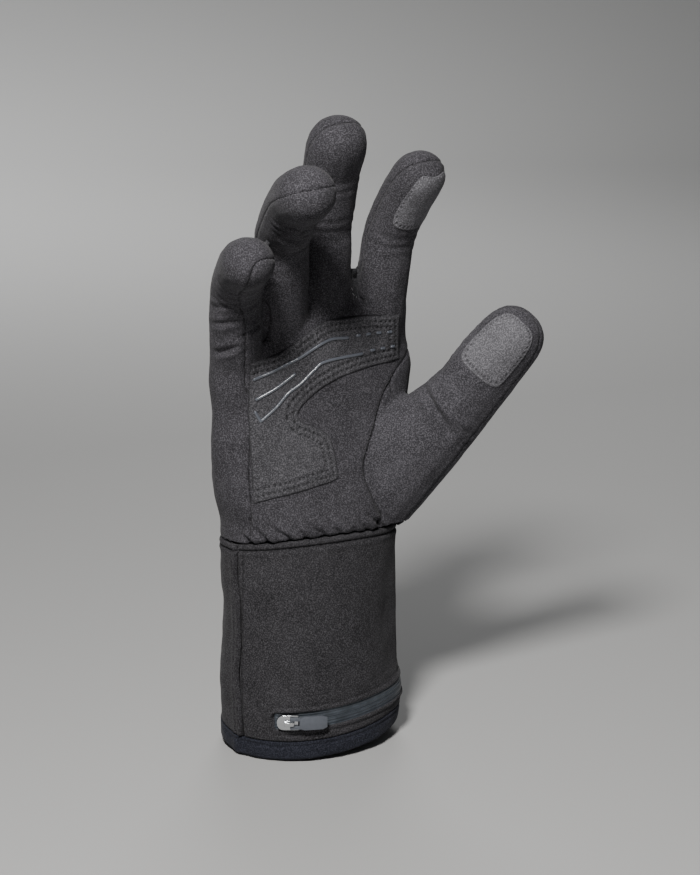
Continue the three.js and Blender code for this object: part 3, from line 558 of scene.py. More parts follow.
for part, share in ((fibre, 0.26), (patchy, 0.12)):
    tone = math_of(knit_group, "ADD", tone, math_of(knit_group, "MULTIPLY", part, share))
knit_group.links.new(tone, knit_out.inputs["Tone"])
ribbed = math_of(knit_group, "MULTIPLY", ribs, knit_in.outputs["Rib"])
knit_group.links.new(math_of(knit_group, "ADD", flecked, ribbed), knit_out.inputs["Height"])


def cloth_finish(name, dark, light, rib=0.3, bump=0.5, roughness=0.95, seam=True, seam_tone=0.5):
    """Brushed knit in two shades, with painted shade in its seams' grooves and stitch pits, darkened down to
    seam_tone.
    """
    finish, tree, shader = finish_of(name, {
        "Roughness": roughness, "Sheen Weight": 0.05, "Sheen Roughness": 0.45, "Specular IOR Level": 0.12,
    })
    knit = node(tree, "ShaderNodeGroup", node_tree=knit_group)
    tree.links.new(place_in(tree), knit.inputs["Vector"])
    knit.inputs["Rib"].default_value = rib
    shade = knit.outputs["Tone"]
    # Painted shade: near a seam, by the mesh's seam measure, the knit's colour darkens towards seam_tone, for the
    # shade in the groove.
    if seam:
        nearness = node(tree, "ShaderNodeAttribute", attribute_name="seam").outputs["Fac"]
        seam_shade = math_of(tree, "MULTIPLY", clamped_ramp(tree, nearness, 0.0, 0.22), 1 - seam_tone)
        shade = math_of(tree, "MULTIPLY", shade, math_of(tree, "ADD", seam_shade, seam_tone))
    two_shades(tree, shader, shade, dark, light)
    bumped(tree, shader, knit.outputs["Height"], bump, 0.12 * MM)
    return finish


palm_knit = cloth_finish("palm_knit", (0.008, 0.0076, 0.0088), (0.125, 0.120, 0.134))
back_knit = cloth_finish("back_knit", (0.008, 0.0076, 0.0088), (0.120, 0.115, 0.129))
# The thumb's copy of the knit is a lighter shade than the palm's: painted light on the thumb.
lit_thumb_knit = cloth_finish("lit_thumb_knit", (0.009, 0.0086, 0.010), (0.142, 0.137, 0.153))
panel_names = ["palm_cloth", "back_cloth", "thumb_front_cloth", "thumb_back_cloth"]
panel_finish = [palm_knit, back_knit, lit_thumb_knit, lit_thumb_knit]
panel_nodes = [["palm_panel", "wrist_gathers"], ["back_panel"], ["thumb_front_panel"], ["thumb_back_panel"]]
hand_tree = BVHTree.FromPolygons([Vector(p) for p in hand_co], hand_corners.tolist())
for piece, finish, nodes in zip(parted(hand, hand_panel, panel_names, 0.9 * MM), panel_finish, panel_nodes):
    piece.data.materials.append(finish)
    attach(piece, "glove")
    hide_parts(*nodes)
bpy.data.objects.remove(hand)

# The inner face of the hand's cloth: the fleecy back of the same knit, the walls' thickness in from its outer face,
# in the palm, the fingers and the thumb. It shows only through the cuff, and it is open at the wrist.
inner_face = felted("hand_inside", plugged(hand_nodes), 2.2 * MM, 4)
inner_depth, foot_trim = 2.5 * MM, 1.5 * MM
inner_bm = bmesh.new()
inner_bm.from_mesh(inner_face.data)
inner_bm.normal_update()
for v in inner_bm.verts:
    v.co -= v.normal * inner_depth
    v.co.z -= slit_drop(np.array([v.co]))[0]
open_foot = [f for f in inner_bm.faces if f.calc_center_median().z < wrist_seam + foot_trim]
bmesh.ops.delete(inner_bm, geom=open_foot, context="FACES")
bmesh.ops.reverse_faces(inner_bm, faces=inner_bm.faces)
inner_bm.to_mesh(inner_face.data)
inner_bm.free()
inner_face.data.shade_smooth()
fleece = cloth_finish("fleece_back", (0.02, 0.02, 0.022), (0.09, 0.09, 0.096), rib=0.0, bump=0.8, seam=False)
inner_face.data.materials.append(fleece)
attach(inner_face, "glove")

# The cuff: a front and a back panel of the same knit, sewn to each other down both sides and to the hand at the
# wrist. The front panel is cut open along the zip. Each follows the ovals that the cuff is cut to, with slight
# sags, a band pressed along the top by the wrist seam, and lips turned along the zip.
cuff_length, cuff_width, cuff_depth = 91, 83, 68
wrist_width, wrist_depth = 83, 54
hem_height, cloth_wall = 8, 2
zip_middle, zip_half = 17, 3.7
zip_first, zip_last = -40, 80
side_seams = (-68, 100)
per_degree = (cuff_width / 2) * math.pi / 180
# Dents: share of the height, angle, depth as a share of the cuff's, and how far each reaches up and round.
cuff_dents = [
    (0.62, -100, 0.018, 0.12, 26), (0.3, -95, -0.012, 0.12, 24), (0.6, 28, 0.02, 0.22, 20),
    (0.17, 62, -0.04, 0.09, 26), (0.5, -20, -0.012, 0.3, 24), (0.55, 150, 0.015, 0.2, 35),
]


def turn_from(angle, start):
    """Degrees round the cuff from start, between -180 and 180."""
    return (angle - start + 180) % 360 - 180


def cuff_points(share, angle, grow):
    """Points of the cuff: share of its height, degrees round it from the palm side, millimetres outwards."""
    share, angle, grow = np.broadcast_arrays(*(np.asarray(values, float) for values in (share, angle, grow)))
    turn = np.radians(angle)
    sag = -1.2 * swell(turn_from(angle, 0), side_seams[0] - 5, 5)
    for up, at, depth, high, wide in cuff_dents:
        sag = sag + depth * cuff_depth * swell(share, up, high) * swell(turn_from(angle, at), 0, wide)
    half_width = (cuff_width + (wrist_width - cuff_width) * share) / 2 + grow - sag
    half_depth = (cuff_depth + (wrist_depth - cuff_depth) * share) / 2 + grow - sag
    dip = 7 * (0.5 + 0.5 * np.cos(turn - math.radians(-50))) ** 1.5 * (1 - share)
    lift = 4 * np.maximum(0, np.cos(turn)) ** 2 * share**3
    height = share * cuff_length - dip + lift
    return np.stack([np.sin(turn) * half_width, -np.cos(turn) * half_depth, height], -1) * MM


def sheet_of(name, grid, closed=False):
    """A smooth piece from rows of points, joined row to row; closed joins each row's ends as well."""
    rows, columns = grid.shape[:2]
    bm = bmesh.new()
    verts = [[bm.verts.new(p) for p in row] for row in grid]
    for i in range(rows - 1):
        for j in range(columns if closed else columns - 1):
            k = (j + 1) % columns
            bm.faces.new((verts[i][j], verts[i][k], verts[i + 1][k], verts[i + 1][j]))
    bmesh.ops.recalc_face_normals(bm, faces=bm.faces)
    return made(name, bm)


def stepped(first, last, step, crisp=()):
    """Even steps, with close ones on both sides of each crisp edge."""
    even = list(np.linspace(first, last, int((last - first) / step) + 1))
    near = [edge + side for edge in crisp for side in (-0.3, -0.08, 0.08, 0.3)]
    return np.array(sorted([s for s in even if all(abs(s - edge) > 0.45 for edge in crisp)] + near))


def cuff_relief(up, angle):
    """Millimetres out or in of the cuff's face, for heights up the cuff in mm and angles in degrees."""
    place = cuff_points(up / cuff_length, angle, 0).reshape(-1, 3)
    relief = (0.24 * ripple(place, 22 * MM, 21) + 0.10 * ripple(place, 8 * MM, 22)).reshape(up.shape)
    # A long shallow hollow towards the thumb, with a low ridge before it.
    relief -= 2.1 * swell(up, 52, 30) * swell(angle - 0.12 * (up - 52), 52, 13)
    relief += 0.9 * swell(up, 50, 22) * swell(angle, 14, 12)
    # The band along the top, pressed in by a row of stitches.
    from_top = cuff_length - 0.3 - up
    band_pucker = 0.7 + 0.3 * np.sin(angle * 1.9 + 2 * np.sin(angle * 0.31))
    relief -= 1.1 * band_pucker * swell(from_top, 2.6, 0.45)
    relief += 0.35 * swell(from_top, 1.3, 0.75) + 0.4 * band_pucker * swell(from_top, 4.3, 1.1)
    relief -= 0.5 * np.clip(1 - from_top / 0.7, 0, 1) ** 2
    # The side seams: a groove with a puckered lip on one side of it.
    for seam in side_seams:
        across = turn_from(angle, seam) * per_degree
        relief -= 0.9 * np.clip(1 - np.abs(across) / 0.9, 0, 1) ** 1.5
        lip_pucker = 0.88 + 0.12 * np.sin(up * 0.8 + 1.5 * np.sin(up * 0.21))
        relief += 1.3 * lip_pucker * swell(across, -1.6, 0.9) + 0.2 * lip_pucker * swell(across, 2.2, 1.1)
        relief -= 0.35 * lip_pucker * swell(across, -4.2, 0.7)
    # Between the zip's lips the face drops to the tape; past the slider's end it's pressed down along an arc.
    reach_past = np.maximum(0, np.maximum(zip_first - angle, angle - zip_last)) * per_degree
    from_zip = np.abs(up - zip_middle)
    edge = np.hypot(from_zip, reach_past * (from_zip < zip_half + 9))
    inside = np.clip((zip_half - edge) / 0.25, 0, 1)
    relief = relief * (1 - 0.8 * np.clip((zip_half + 2 - edge) / 2, 0, 1)) - 1.5 * inside
    relief += (1 - inside) * (0.42 * swell(edge, zip_half + 0.75, 0.75) - 0.5 * swell(edge, zip_half + 2.1, 0.4))
    relief -= 0.2 * swell(edge, zip_half + 6.4, 0.35) * (angle > zip_first - 14)
    return relief


cuff_top, cuff_foot, band_foot = cuff_length - 0.3, hem_height + 0.3, cuff_length - 6
cuff_rows = stepped(cuff_foot, band_foot, 0.7, (zip_middle - zip_half, zip_middle + zip_half))
cuff_rows = np.concatenate([cuff_rows[:-1], np.linspace(band_foot, cuff_top, 26)])
front_steps = stepped(side_seams[0] + 0.25, side_seams[1] - 0.25, 0.95, (zip_first, zip_last))
back_steps = np.concatenate([
    np.linspace(side_seams[1] + 0.25, side_seams[0] + 350, 190),
    np.linspace(side_seams[0] + 350.4, side_seams[0] + 359.75, 26),
])
# The cuff's copy of the hand's knit is a darker shade: painted shade on the cuff, which lies low on the glove,
# further from the key lamp.
shaded_cuff_knit = cloth_finish("shaded_cuff_knit", (0.0055, 0.0053, 0.006), (0.092, 0.089, 0.097))
for name, steps, cad_node in (
    ("cuff_front_cloth", front_steps, "cuff_front_panel"),
    ("cuff_back_cloth", back_steps, "cuff_back_panel"),
):
    up, angle = np.meshgrid(cuff_rows, steps, indexing="ij")
    relief = cuff_relief(up, angle)
    # Where it's sewn, the cloth wanders a little to each side as it climbs.
    for seam in side_seams:
        wander = 0.9 * np.sin(up * 0.13 + 0.4) + 0.4 * np.sin(up * 0.31)
        angle = angle + wander * swell(turn_from(angle, seam), 0, 9)
    outer = cuff_points(up / cuff_length, angle, relief)
    in_up, in_angle = np.meshgrid(np.linspace(cuff_top, cuff_foot, 24), steps, indexing="ij")
    inner = cuff_points(in_up / cuff_length, in_angle, -cloth_wall)
    inner[:, (0, -1)] += (cuff_points(in_up / cuff_length, in_angle, -0.9) - inner)[:, (0, -1)]
    panel = sheet_of(name, np.concatenate([outer, inner, outer[:1]]))
    ends = bmesh.new()
    ends.from_mesh(panel.data)
    bmesh.ops.remove_doubles(ends, verts=ends.verts, dist=1e-6)
    turned_in(ends, 0.7 * MM)
    bmesh.ops.recalc_face_normals(ends, faces=ends.faces)
    ends.to_mesh(panel.data)
    ends.free()
    # Painted shade along the side seams' grooves and the band's row of stitches: how near each point is to them, for
    # the knit's colour to darken.
    co = points_of(panel.data)
    around = np.degrees(np.arctan2(co[:, 0] / cuff_width, -co[:, 1] / cuff_depth))
    near_seam = np.min([np.abs(turn_from(around, seam)) for seam in side_seams], axis=0) * 0.72
    grid_up = np.concatenate([np.repeat(cuff_rows, len(steps)), np.full(len(co), 50.0)])[:len(co)]
    near_seam = np.minimum(near_seam, np.abs(cuff_length - 2.9 - grid_up) * 1.2)
    add_measure(panel.data, "seam", np.clip(near_seam / 4, 0, 1))
    panel.data.shade_smooth()
    panel.data.materials.append(shaded_cuff_knit)
    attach(panel, "glove")
    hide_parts(cad_node)

# The hem: the cuff's bottom edge turned in over itself and bound in a slightly blue knit, full and rounded, with
# a row of stitches that holds the turning just under its top edge. Its section: height and millimetres outwards.
hem_steps = np.linspace(0, 360, 360, endpoint=False)
hem_section = [(hem_height, -0.7), (hem_height - 0.25, 0.0), (hem_height - 0.8, 0.28), (hem_height - 1.5, 0.1),
               (hem_height - 1.9, -0.12), (hem_height - 2.3, 0.12)]
hem_section += [(h, 0.42) for h in np.linspace(hem_height - 3.2, 1.6, 8)]
hem_section += [(0.9, 0.28), (0.35, -0.1), (0.05, -0.7), (0.0, -1.2), (0.15, -1.8), (0.8, -2.2), (4.0, -2.3),
                (hem_height, -2.2), (hem_height, -0.7)]
hem_up, hem_angle = np.meshgrid([s[0] for s in hem_section], hem_steps, indexing="ij")
hem_grow = np.array([s[1] for s in hem_section])[:, None] * np.ones_like(hem_angle)
hem_place = cuff_points(hem_up / cuff_length, hem_angle, 0).reshape(-1, 3)
hem_grow += (0.16 * ripple(hem_place, 15 * MM, 31) + 0.10 * ripple(hem_place, 5 * MM, 32)).reshape(hem_grow.shape)
hem = sheet_of("hem_binding", cuff_points(hem_up / cuff_length, hem_angle, hem_grow), closed=True)
hem.data.materials.append(cloth_finish("hem_knit", (0.005, 0.0054, 0.0085), (0.050, 0.053, 0.071), seam=False))
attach(hem, "glove")
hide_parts("cuff_hem")

# The zip's tape: a coated strip in two halves that meet edge to edge over the teeth, so only a fine line and long
# ridges show. It's glued under the front panel's lips.
tape_sunk, ridge_pitch, tape_thickness = 0.62, 1.25, 0.35 * MM
tape_steps = stepped(zip_first - 2.5, zip_last + 2.5, 1.2)
tape_rows = np.linspace(zip_middle - zip_half - 0.5, zip_middle + zip_half + 0.5, 60)
tape_up, tape_angle = np.meshgrid(tape_rows, tape_steps, indexing="ij")
tape_grow = -tape_sunk + 0.10 * np.cos((tape_up - zip_middle) * 2 * math.pi / ridge_pitch)
tape_grow += 0.16 * swell(tape_up, zip_middle, 1.5) - 0.42 * swell(tape_up, zip_middle, 0.16)
tape = sheet_of("zip_film", cuff_points(tape_up / cuff_length, tape_angle, tape_grow))
tape_bm = bmesh.new()
tape_bm.from_mesh(tape.data)
bmesh.ops.solidify(tape_bm, geom=tape_bm.faces[:], thickness=tape_thickness)
tape_bm.to_mesh(tape.data)
tape_bm.free()
tape.data.shade_smooth()
film, film_tree, film_shader = finish_of("tape_film", {})
film_place = place_in(film_tree)
film_cloud = clamped_ramp(film_tree, noise_of(film_tree, film_place, 260, 3, 0.6), 0.3, 0.7)
two_shades(film_tree, film_shader, film_cloud, (0.028, 0.034, 0.043), (0.056, 0.066, 0.080))
film_grain = noise_of(film_tree, film_place, 900, 2, 0.5)
film_rough = node(film_tree, "ShaderNodeMapRange", {"Value": film_grain, "To Min": 0.36, "To Max": 0.52})
film_tree.links.new(film_rough.outputs["Result"], film_shader.inputs["Roughness"])
tape.data.materials.append(film)
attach(tape, "glove")
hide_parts("zip_tape")

# The slider, die-cast and chromed, and the moulded rubber pull that swings on its bridge. Their edges are rounded
# as castings and mouldings are.
def bevelled(name, cad_node, width, sharpest):
    """A copy of the CAD node with each edge sharper than so many degrees rounded."""
    bm = copied([cad_node])
    bmesh.ops.dissolve_limit(bm, angle_limit=math.radians(2), verts=bm.verts, edges=bm.edges)
    sharp = [e for e in bm.edges if e.is_manifold and e.calc_face_angle() > math.radians(sharpest)]
    bmesh.ops.bevel(bm, geom=sharp, offset=width, affect="EDGES", segments=3, profile=0.5, clamp_overlap=True,
                    material=-1)
    piece = made(name, bm)
    piece.data.set_sharp_from_angle(angle=math.radians(40))
    return piece


chrome, chrome_tree, chrome_shader = finish_of("slider_chrome", {
    "Base Color": (0.62, 0.63, 0.65, 1), "Metallic": 1, "Roughness": 0.2,
})
chrome_dents = noise_of(chrome_tree, place_in(chrome_tree), 700, 2, 0.5)
bumped(chrome_tree, chrome_shader, chrome_dents, 0.25, 0.15 * MM)
slider = bevelled("slider", "zip_slider", 0.28 * MM, 30)
slider.data.materials.append(chrome)
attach(slider, "glove")
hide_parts("zip_slider")

rubber, rubber_tree, rubber_shader = finish_of("pull_rubber", {"Roughness": 0.55})
rubber_tone = noise_of(rubber_tree, place_in(rubber_tree), 500, 3, 0.6)
two_shades(rubber_tree, rubber_shader, rubber_tone, (0.075, 0.082, 0.098), (0.125, 0.135, 0.158))
pull = bevelled("pull_tab", "zip_pull", 0.3 * MM, 25)
pull.data.materials.append(rubber)
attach(pull, "pull")
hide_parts("zip_pull")

# The palm patch: a soft suede-like cloth sewn over the palm with two rows of stitches inside its edge. It's laid
# on the finished palm, so it takes the palm's form, and each stitch pulls a pit into it. Its outline is in shares
# of the palm's breadth from its middle and of its length from the cuff.
palm_breadth, palm_length = 94, 109
patch_edge = [
    [(-0.362, 0.18), (-0.362, 0.763)],
    [(-0.362, 0.763), (-0.229, 0.784), (-0.111, 0.841), (-0.014, 0.89), (0.063, 0.908), (0.224, 0.911),
     (0.407, 0.9)],
    [(0.407, 0.9), (0.425, 0.7)],
    [(0.425, 0.7), (0.258, 0.69), (0.119, 0.667), (0.01, 0.631), (-0.078, 0.581), (-0.118, 0.54),
     (-0.11, 0.506), (-0.056, 0.481), (0.018, 0.442), (0.044, 0.391), (0.056, 0.28), (0.033, 0.251),
     (-0.056, 0.236), (-0.182, 0.215), (-0.279, 0.2), (-0.362, 0.18)],
]


def on_palm(points):
    return np.array([(x * palm_breadth, cuff_length + z * palm_length) for x, z in points])


def inside_of(points, ring):
    """Which points lie inside the ring."""
    within = np.zeros(len(points), bool)
    for a, b in zip(ring, np.roll(ring, -1, axis=0)):
        crosses = (a[1] > points[:, 1]) != (b[1] > points[:, 1])
        with np.errstate(divide="ignore", invalid="ignore"):
            at = (b[0] - a[0]) * (points[:, 1] - a[1]) / (b[1] - a[1]) + a[0]
        within ^= crosses & (points[:, 0] < at)
    return within


palm_side, inwards = -90, Vector((0, 1, 0))


def laid(tree, flat):
    """Where points (x, z) in mm, pressed in from the palm side, meet the skin, with the skin's normals there."""
    spots, ups = [], []
    for x, z in flat:
        start = Vector((x * MM, palm_side * MM, z * MM))
        spot, up, _, _ = tree.ray_cast(start, inwards)
        if spot is None:
            spot, up = tree.find_nearest(start)[:2]
        spots.append(spot[:])
        ups.append(up[:] if up.y < 0 else (-up)[:])
    return np.array(spots), np.array(ups)


def run_along(line):
    """How far along the line each of its points is."""
    return np.concatenate([[0], np.cumsum(np.linalg.norm(np.diff(line, axis=0), axis=1))])


def unit(ways):
    return ways / np.maximum(np.linalg.norm(ways, axis=-1, keepdims=True), 1e-9)


patch_grid, edge_step = 0.45, 0.4
patch_ring = np.concatenate([along_line(on_palm(side), edge_step)[:-1] for side in patch_edge])
ring_length = run_along(patch_ring)
low, high = patch_ring.min(0) - 1, patch_ring.max(0) + 1
wide, tall = high - low
patch_bm = bmesh.new()
bmesh.ops.create_grid(patch_bm, x_segments=int(wide / patch_grid), y_segments=int(tall / patch_grid), size=0.5)
bmesh.ops.scale(patch_bm, verts=patch_bm.verts, vec=(wide, tall, 1))
bmesh.ops.translate(patch_bm, verts=patch_bm.verts, vec=(*(low + high) / 2, 0))
patch_bm.faces.ensure_lookup_table()
middles = np.array([f.calc_center_median()[:2] for f in patch_bm.faces])
kept = inside_of(middles, patch_ring)
bmesh.ops.delete(patch_bm, geom=[f for f, k in zip(patch_bm.faces[:], kept) if not k], context="FACES")

# How far each point is from the patch's edge, and from the part of it that is sewn, which leaves out its left side.
flat = np.array([v.co[:2] for v in patch_bm.verts])
apart = np.array([np.hypot(*(patch_ring - p).T) for p in flat])
nearest_at, edge_gap = apart.argmin(1), apart.min(1)
rim = np.array([v.is_boundary for v in patch_bm.verts])
flat[rim] = patch_ring[nearest_at[rim]]
edge_gap[rim] = 0
sewn_from = len(along_line(on_palm(patch_edge[0]), edge_step)) - 1
sewn_at = sewn_from + apart[:, sewn_from:].argmin(1)
from_sewn, along = apart[:, sewn_from:].min(1), ring_length[sewn_at]
spots, _ = laid(hand_tree, flat)
for v, spot in zip(patch_bm.verts, spots):
    v.co = spot
inner = [v for v, r in zip(patch_bm.verts, rim) if not r]
for _ in range(8):
    bmesh.ops.smooth_vert(patch_bm, verts=inner, factor=0.5, use_axis_x=False, use_axis_y=True, use_axis_z=False)
patch_bm.normal_update()

# The patch's own thickness rises from its edge, with a pit at each stitch.
stitch_pitch, outer_row, inner_row = 2.2, 2.9, 5.7
edge_sunk, patch_thickness, edge_round = 0.5, 1.45, 0.5
rise = -edge_sunk + patch_thickness * (1 - np.exp(-edge_gap / edge_round))
pits = np.zeros(len(edge_gap))
rise += 0.1 * ripple(spots, 9 * MM, 41) * np.clip(edge_gap / 4, 0, 1)
for row_gap, shift in ((outer_row, 0.0), (inner_row, 0.5)):
    beat = np.clip(1.7 * np.cos(2 * math.pi * (along / stitch_pitch + shift)) - 0.2, 0, 1)
    pit = swell(from_sewn, row_gap, 0.5) * beat
    pits = np.maximum(pits, pit)
    rise -= 0.12 * swell(from_sewn, row_gap, 0.7) + 0.55 * pit
    rise += 0.15 * swell(from_sewn, row_gap + 1.4, 0.9)
for v, up in zip(patch_bm.verts, rise):
    v.co += (v.normal if v.normal.y < 0 else -v.normal) * up * MM
patch_tree = BVHTree.FromBMesh(patch_bm)
bmesh.ops.recalc_face_normals(patch_bm, faces=patch_bm.faces)
if sum(f.normal.y for f in patch_bm.faces) > 0:
    bmesh.ops.reverse_faces(patch_bm, faces=patch_bm.faces)
turned_in(patch_bm, 0.9 * MM)
patch = made("palm_patch_cloth", patch_bm)
# Painted shade in the patch's sunk edge and in each stitch pit, for the suede's colour to darken.
patch_seam = np.zeros(len(patch.data.vertices))
patch_seam[:len(edge_gap)] = np.minimum(ramp(edge_gap, 0.1, 4), 0.24 * (1 - pits))
add_measure(patch.data, "seam", patch_seam)
suede = cloth_finish(
    "patch_suede", (0.012, 0.0117, 0.0132), (0.142, 0.139, 0.151), rib=0.12, bump=0.4, seam_tone=0.12,
)
patch.data.materials.append(suede)
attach(patch, "glove")
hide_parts("palm_patch")


def stitch_row(name, line, tree, pitch, length, radius, slant=0.0, lift=0.1):
    """A row of short threads along a line of (x, z) points in mm, laid on a skin from the palm side."""
    run = run_along(line)
    at = np.arange(pitch / 2, run[-1], pitch)
    middle = np.column_stack([np.interp(at, run, line[:, k]) for k in (0, 1)])
    further = np.minimum(at + 0.4, run[-1])
    ahead = unit(np.column_stack([np.interp(further, run, line[:, k]) for k in (0, 1)]) - middle)
    ahead = ahead + slant * np.column_stack([-ahead[:, 1], ahead[:, 0]])
    bm = bmesh.new()
    for m, a in zip(middle, ahead):
        ends = []
        for side in (-0.5, 0.5):
            x, z = m + a * side * length
            spot, up, _, _ = tree.ray_cast(Vector((x * MM, palm_side * MM, z * MM)), inwards)
            if spot is not None:
                ends.append(spot + (up if up.y < 0 else -up) * lift * MM)
        if len(ends) < 2:
            continue
        thread = bmesh.ops.create_uvsphere(bm, u_segments=8, v_segments=6, radius=radius * MM)["verts"]
        way = ends[1] - ends[0]
        turn = way.to_track_quat("Z", "Y").to_matrix().to_4x4()
        stretch = Matrix.Diagonal((1, 1, way.length / (2 * radius * MM), 1))
        bmesh.ops.transform(bm, matrix=Matrix.Translation((ends[0] + ends[1]) / 2) @ turn @ stretch, verts=thread)
    return made(name, bm)


def inset_line(ring, gap, first):
    """The ring from its point first on, moved inwards by gap, with its folded-over points dropped."""
    ahead = unit(np.roll(ring, -1, axis=0) - np.roll(ring, 1, axis=0))
    area = np.sum(ring[:, 0] * np.roll(ring[:, 1], -1) - np.roll(ring[:, 0], -1) * ring[:, 1])
    moved_in = ring + gap * (1 if area > 0 else -1) * np.column_stack([-ahead[:, 1], ahead[:, 0]])
    clear = np.array([np.hypot(*(ring - p).T).min() > gap - 0.12 for p in moved_in])
    return moved_in[clear & inside_of(moved_in, ring) & (np.arange(len(ring)) >= first)]


# The threads: dark ones in the patch's two rows and in the thumb's seam, and light ones at the index finger's web.
thread = finish_of("patch_thread", {
    "Base Color": (0.014, 0.014, 0.016, 1), "Roughness": 0.7, "Sheen Weight": 0.2,
})[0]
for label, row_gap in (("outer", outer_row), ("inner", inner_row)):
    sewn_line = inset_line(patch_ring, row_gap, sewn_from)
    row = stitch_row(f"patch_stitches_{label}", sewn_line, patch_tree, stitch_pitch, 1.2, 0.15, 0.45, 0.02)
    row.data.materials.append(thread)
    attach(row, "glove")
thumb_seam = on_palm([
    (0.39, 0.65), (0.33, 0.58), (0.26, 0.43), (0.2, 0.32), (0.19, 0.26), (0.22, 0.17), (0.27, 0.08), (0.32, 0.015),
])
beside_seam = 0.9
gusset = along_line(thumb_seam, 0.4) - (beside_seam, 0)
row = stitch_row("thumb_seam_stitches", gusset, hand_tree, 2.3, 1.5, 0.16)
row.data.materials.append(thread)
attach(row, "glove")

web_thread = finish_of("web_thread", {"Base Color": (0.22, 0.215, 0.23, 1), "Roughness": 0.6})[0]
web_line = np.array([(16.2, 202.5), (16.8, 199.5), (18.0, 196.7), (19.8, 196.9), (20.6, 199.7), (20.4, 202.5)])
row = stitch_row("web_stitches", web_line, hand_tree, 2.4, 1.7, 0.2, 0.3)
row.data.materials.append(web_thread)
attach(row, "glove")

# The grip print: plain stripes and dashes of clear grey silicone, printed thick on the patch and set with round
# tops. Each is a half-round bead laid along its line.
stripe_width, stripe_height, dash_length = 1.4, 0.62, 0.03 * palm_breadth
grip_lines = {
    "grip_stripe_upper": [(-0.345, 0.687), (-0.255, 0.713), (-0.114, 0.764), (0.028, 0.822), (0.136, 0.825)],
    "grip_stripe_middle": [(-0.332, 0.603), (-0.22, 0.654), (-0.136, 0.701)],
    "grip_stripe_lower": [(-0.335, 0.56), (-0.308, 0.516), (-0.235, 0.569), (-0.177, 0.622), (-0.117, 0.655),
                          (-0.046, 0.706), (0.016, 0.738), (0.21, 0.753)],
}
dash_places = [(0.185, 0.829), (0.24, 0.829), (0.295, 0.83), (0.35, 0.829), (0.262, 0.761), (0.318, 0.763),
               (0.374, 0.765)]
lines = {name: on_palm(points) for name, points in grip_lines.items()}
for i, (x, z) in enumerate(dash_places):
    lines[f"grip_dash_{i + 1}"] = on_palm([(x, z)]) + np.array([(-dash_length / 2, 0), (dash_length / 2, 0)])
# The grey base colour is partly the silicone's own and partly lightened as painted highlight, for the glints along
# the beads.
silicone, silicone_tree, silicone_shader = finish_of("grip_silicone", {
    "Base Color": (0.085, 0.092, 0.11, 1), "Specular IOR Level": 0.9, "Roughness": 0.27,
})
silicone_swell = noise_of(silicone_tree, place_in(silicone_tree), 900, 2, 0.5)
bumped(silicone_tree, silicone_shader, silicone_swell, 0.5, 0.2 * MM)
bead_step = 0.35
for name, points in lines.items():
    middle = along_line(points, bead_step)
    if name == "grip_stripe_lower":
        middle = np.concatenate([along_line(points[:2], bead_step)[:-1], along_line(points[1:], bead_step)])
    spots, ups = laid(patch_tree, middle)
    across = unit(np.cross(unit(np.gradient(spots, axis=0)), ups))
    from_end = np.min([np.linalg.norm(spots - end, axis=1) for end in (spots[0], spots[-1])], axis=0) / MM
    # Its section shrinks to a round end.
    full = np.sqrt(np.clip(1 - np.clip(1 - from_end / (stripe_width / 2), 0, 1) ** 2, 0.03, 1))
    rows = []
    for turn in np.linspace(-0.35, math.pi + 0.35, 13):
        side, up = math.cos(turn) * stripe_width / 2, math.sin(turn) * stripe_height
        rows.append(spots + (across * (side * full)[:, None] + ups * (up * full)[:, None]) * MM)
    stripe = sheet_of(name.replace("grip_", "print_"), np.array(rows))
    stripe_bm = bmesh.new()
    stripe_bm.from_mesh(stripe.data)
    bmesh.ops.holes_fill(stripe_bm, edges=[e for e in stripe_bm.edges if e.is_boundary])
    bmesh.ops.recalc_face_normals(stripe_bm, faces=stripe_bm.faces)
    stripe_bm.to_mesh(stripe.data)
    stripe_bm.free()
    stripe.data.shade_smooth()
    stripe.data.materials.append(silicone)
    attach(stripe, "glove")
    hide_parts(name)

# The touch patches: conductive cloth, lighter than the glove, bonded to the pads of the index finger and the thumb
# and stitched round. Each follows its digit: the digit's middle line, share by share, with the way that its pad
# faces; the way to its side; the shares that the patch runs between; and how far it is turned and spreads round.
touch_lines = {
    "index": (
        [(0.6, (34.5, -16.9, 232.8), (0.106, -0.822, -0.559)), (0.7, (35.4, -22.2, 240.6), (0.103, -0.803, -0.587)),
         (0.8, (36.3, -28.3, 247.9), (0.088, -0.711, -0.697)), (0.9, (37.4, -35.1, 254.4), (0.081, -0.662, -0.745)),
         (1.0, (38.5, -42.1, 260.7), (0.081, -0.662, -0.745))],
        (0.990, 0.139, -0.016), (0.63, 1.05), 7, 56,
    ),
    "thumb": (
        [(0.6, (65.6, -30.9, 158.7), (-0.507, -0.858, -0.083)), (0.7, (70.7, -34.9, 166.8), (-0.522, -0.847, -0.107)),
         (0.8, (75.6, -39.2, 174.9), (-0.540, -0.831, -0.137)), (0.9, (80.5, -43.7, 183.0), (-0.540, -0.831, -0.138)),
         (1.0, (85.3, -48.1, 191.1), (-0.540, -0.830, -0.138))],
        (0.704, -0.356, -0.614), (0.67, 1.02), -12, 54,
    ),
}
touch_finish = cloth_finish(
    "touch_cloth", (0.045, 0.044, 0.048), (0.25, 0.245, 0.266), rib=0.5, bump=0.4, roughness=0.85, seam_tone=0.15,
)
count, touch_scale, last_root = 76, 48, 0.87
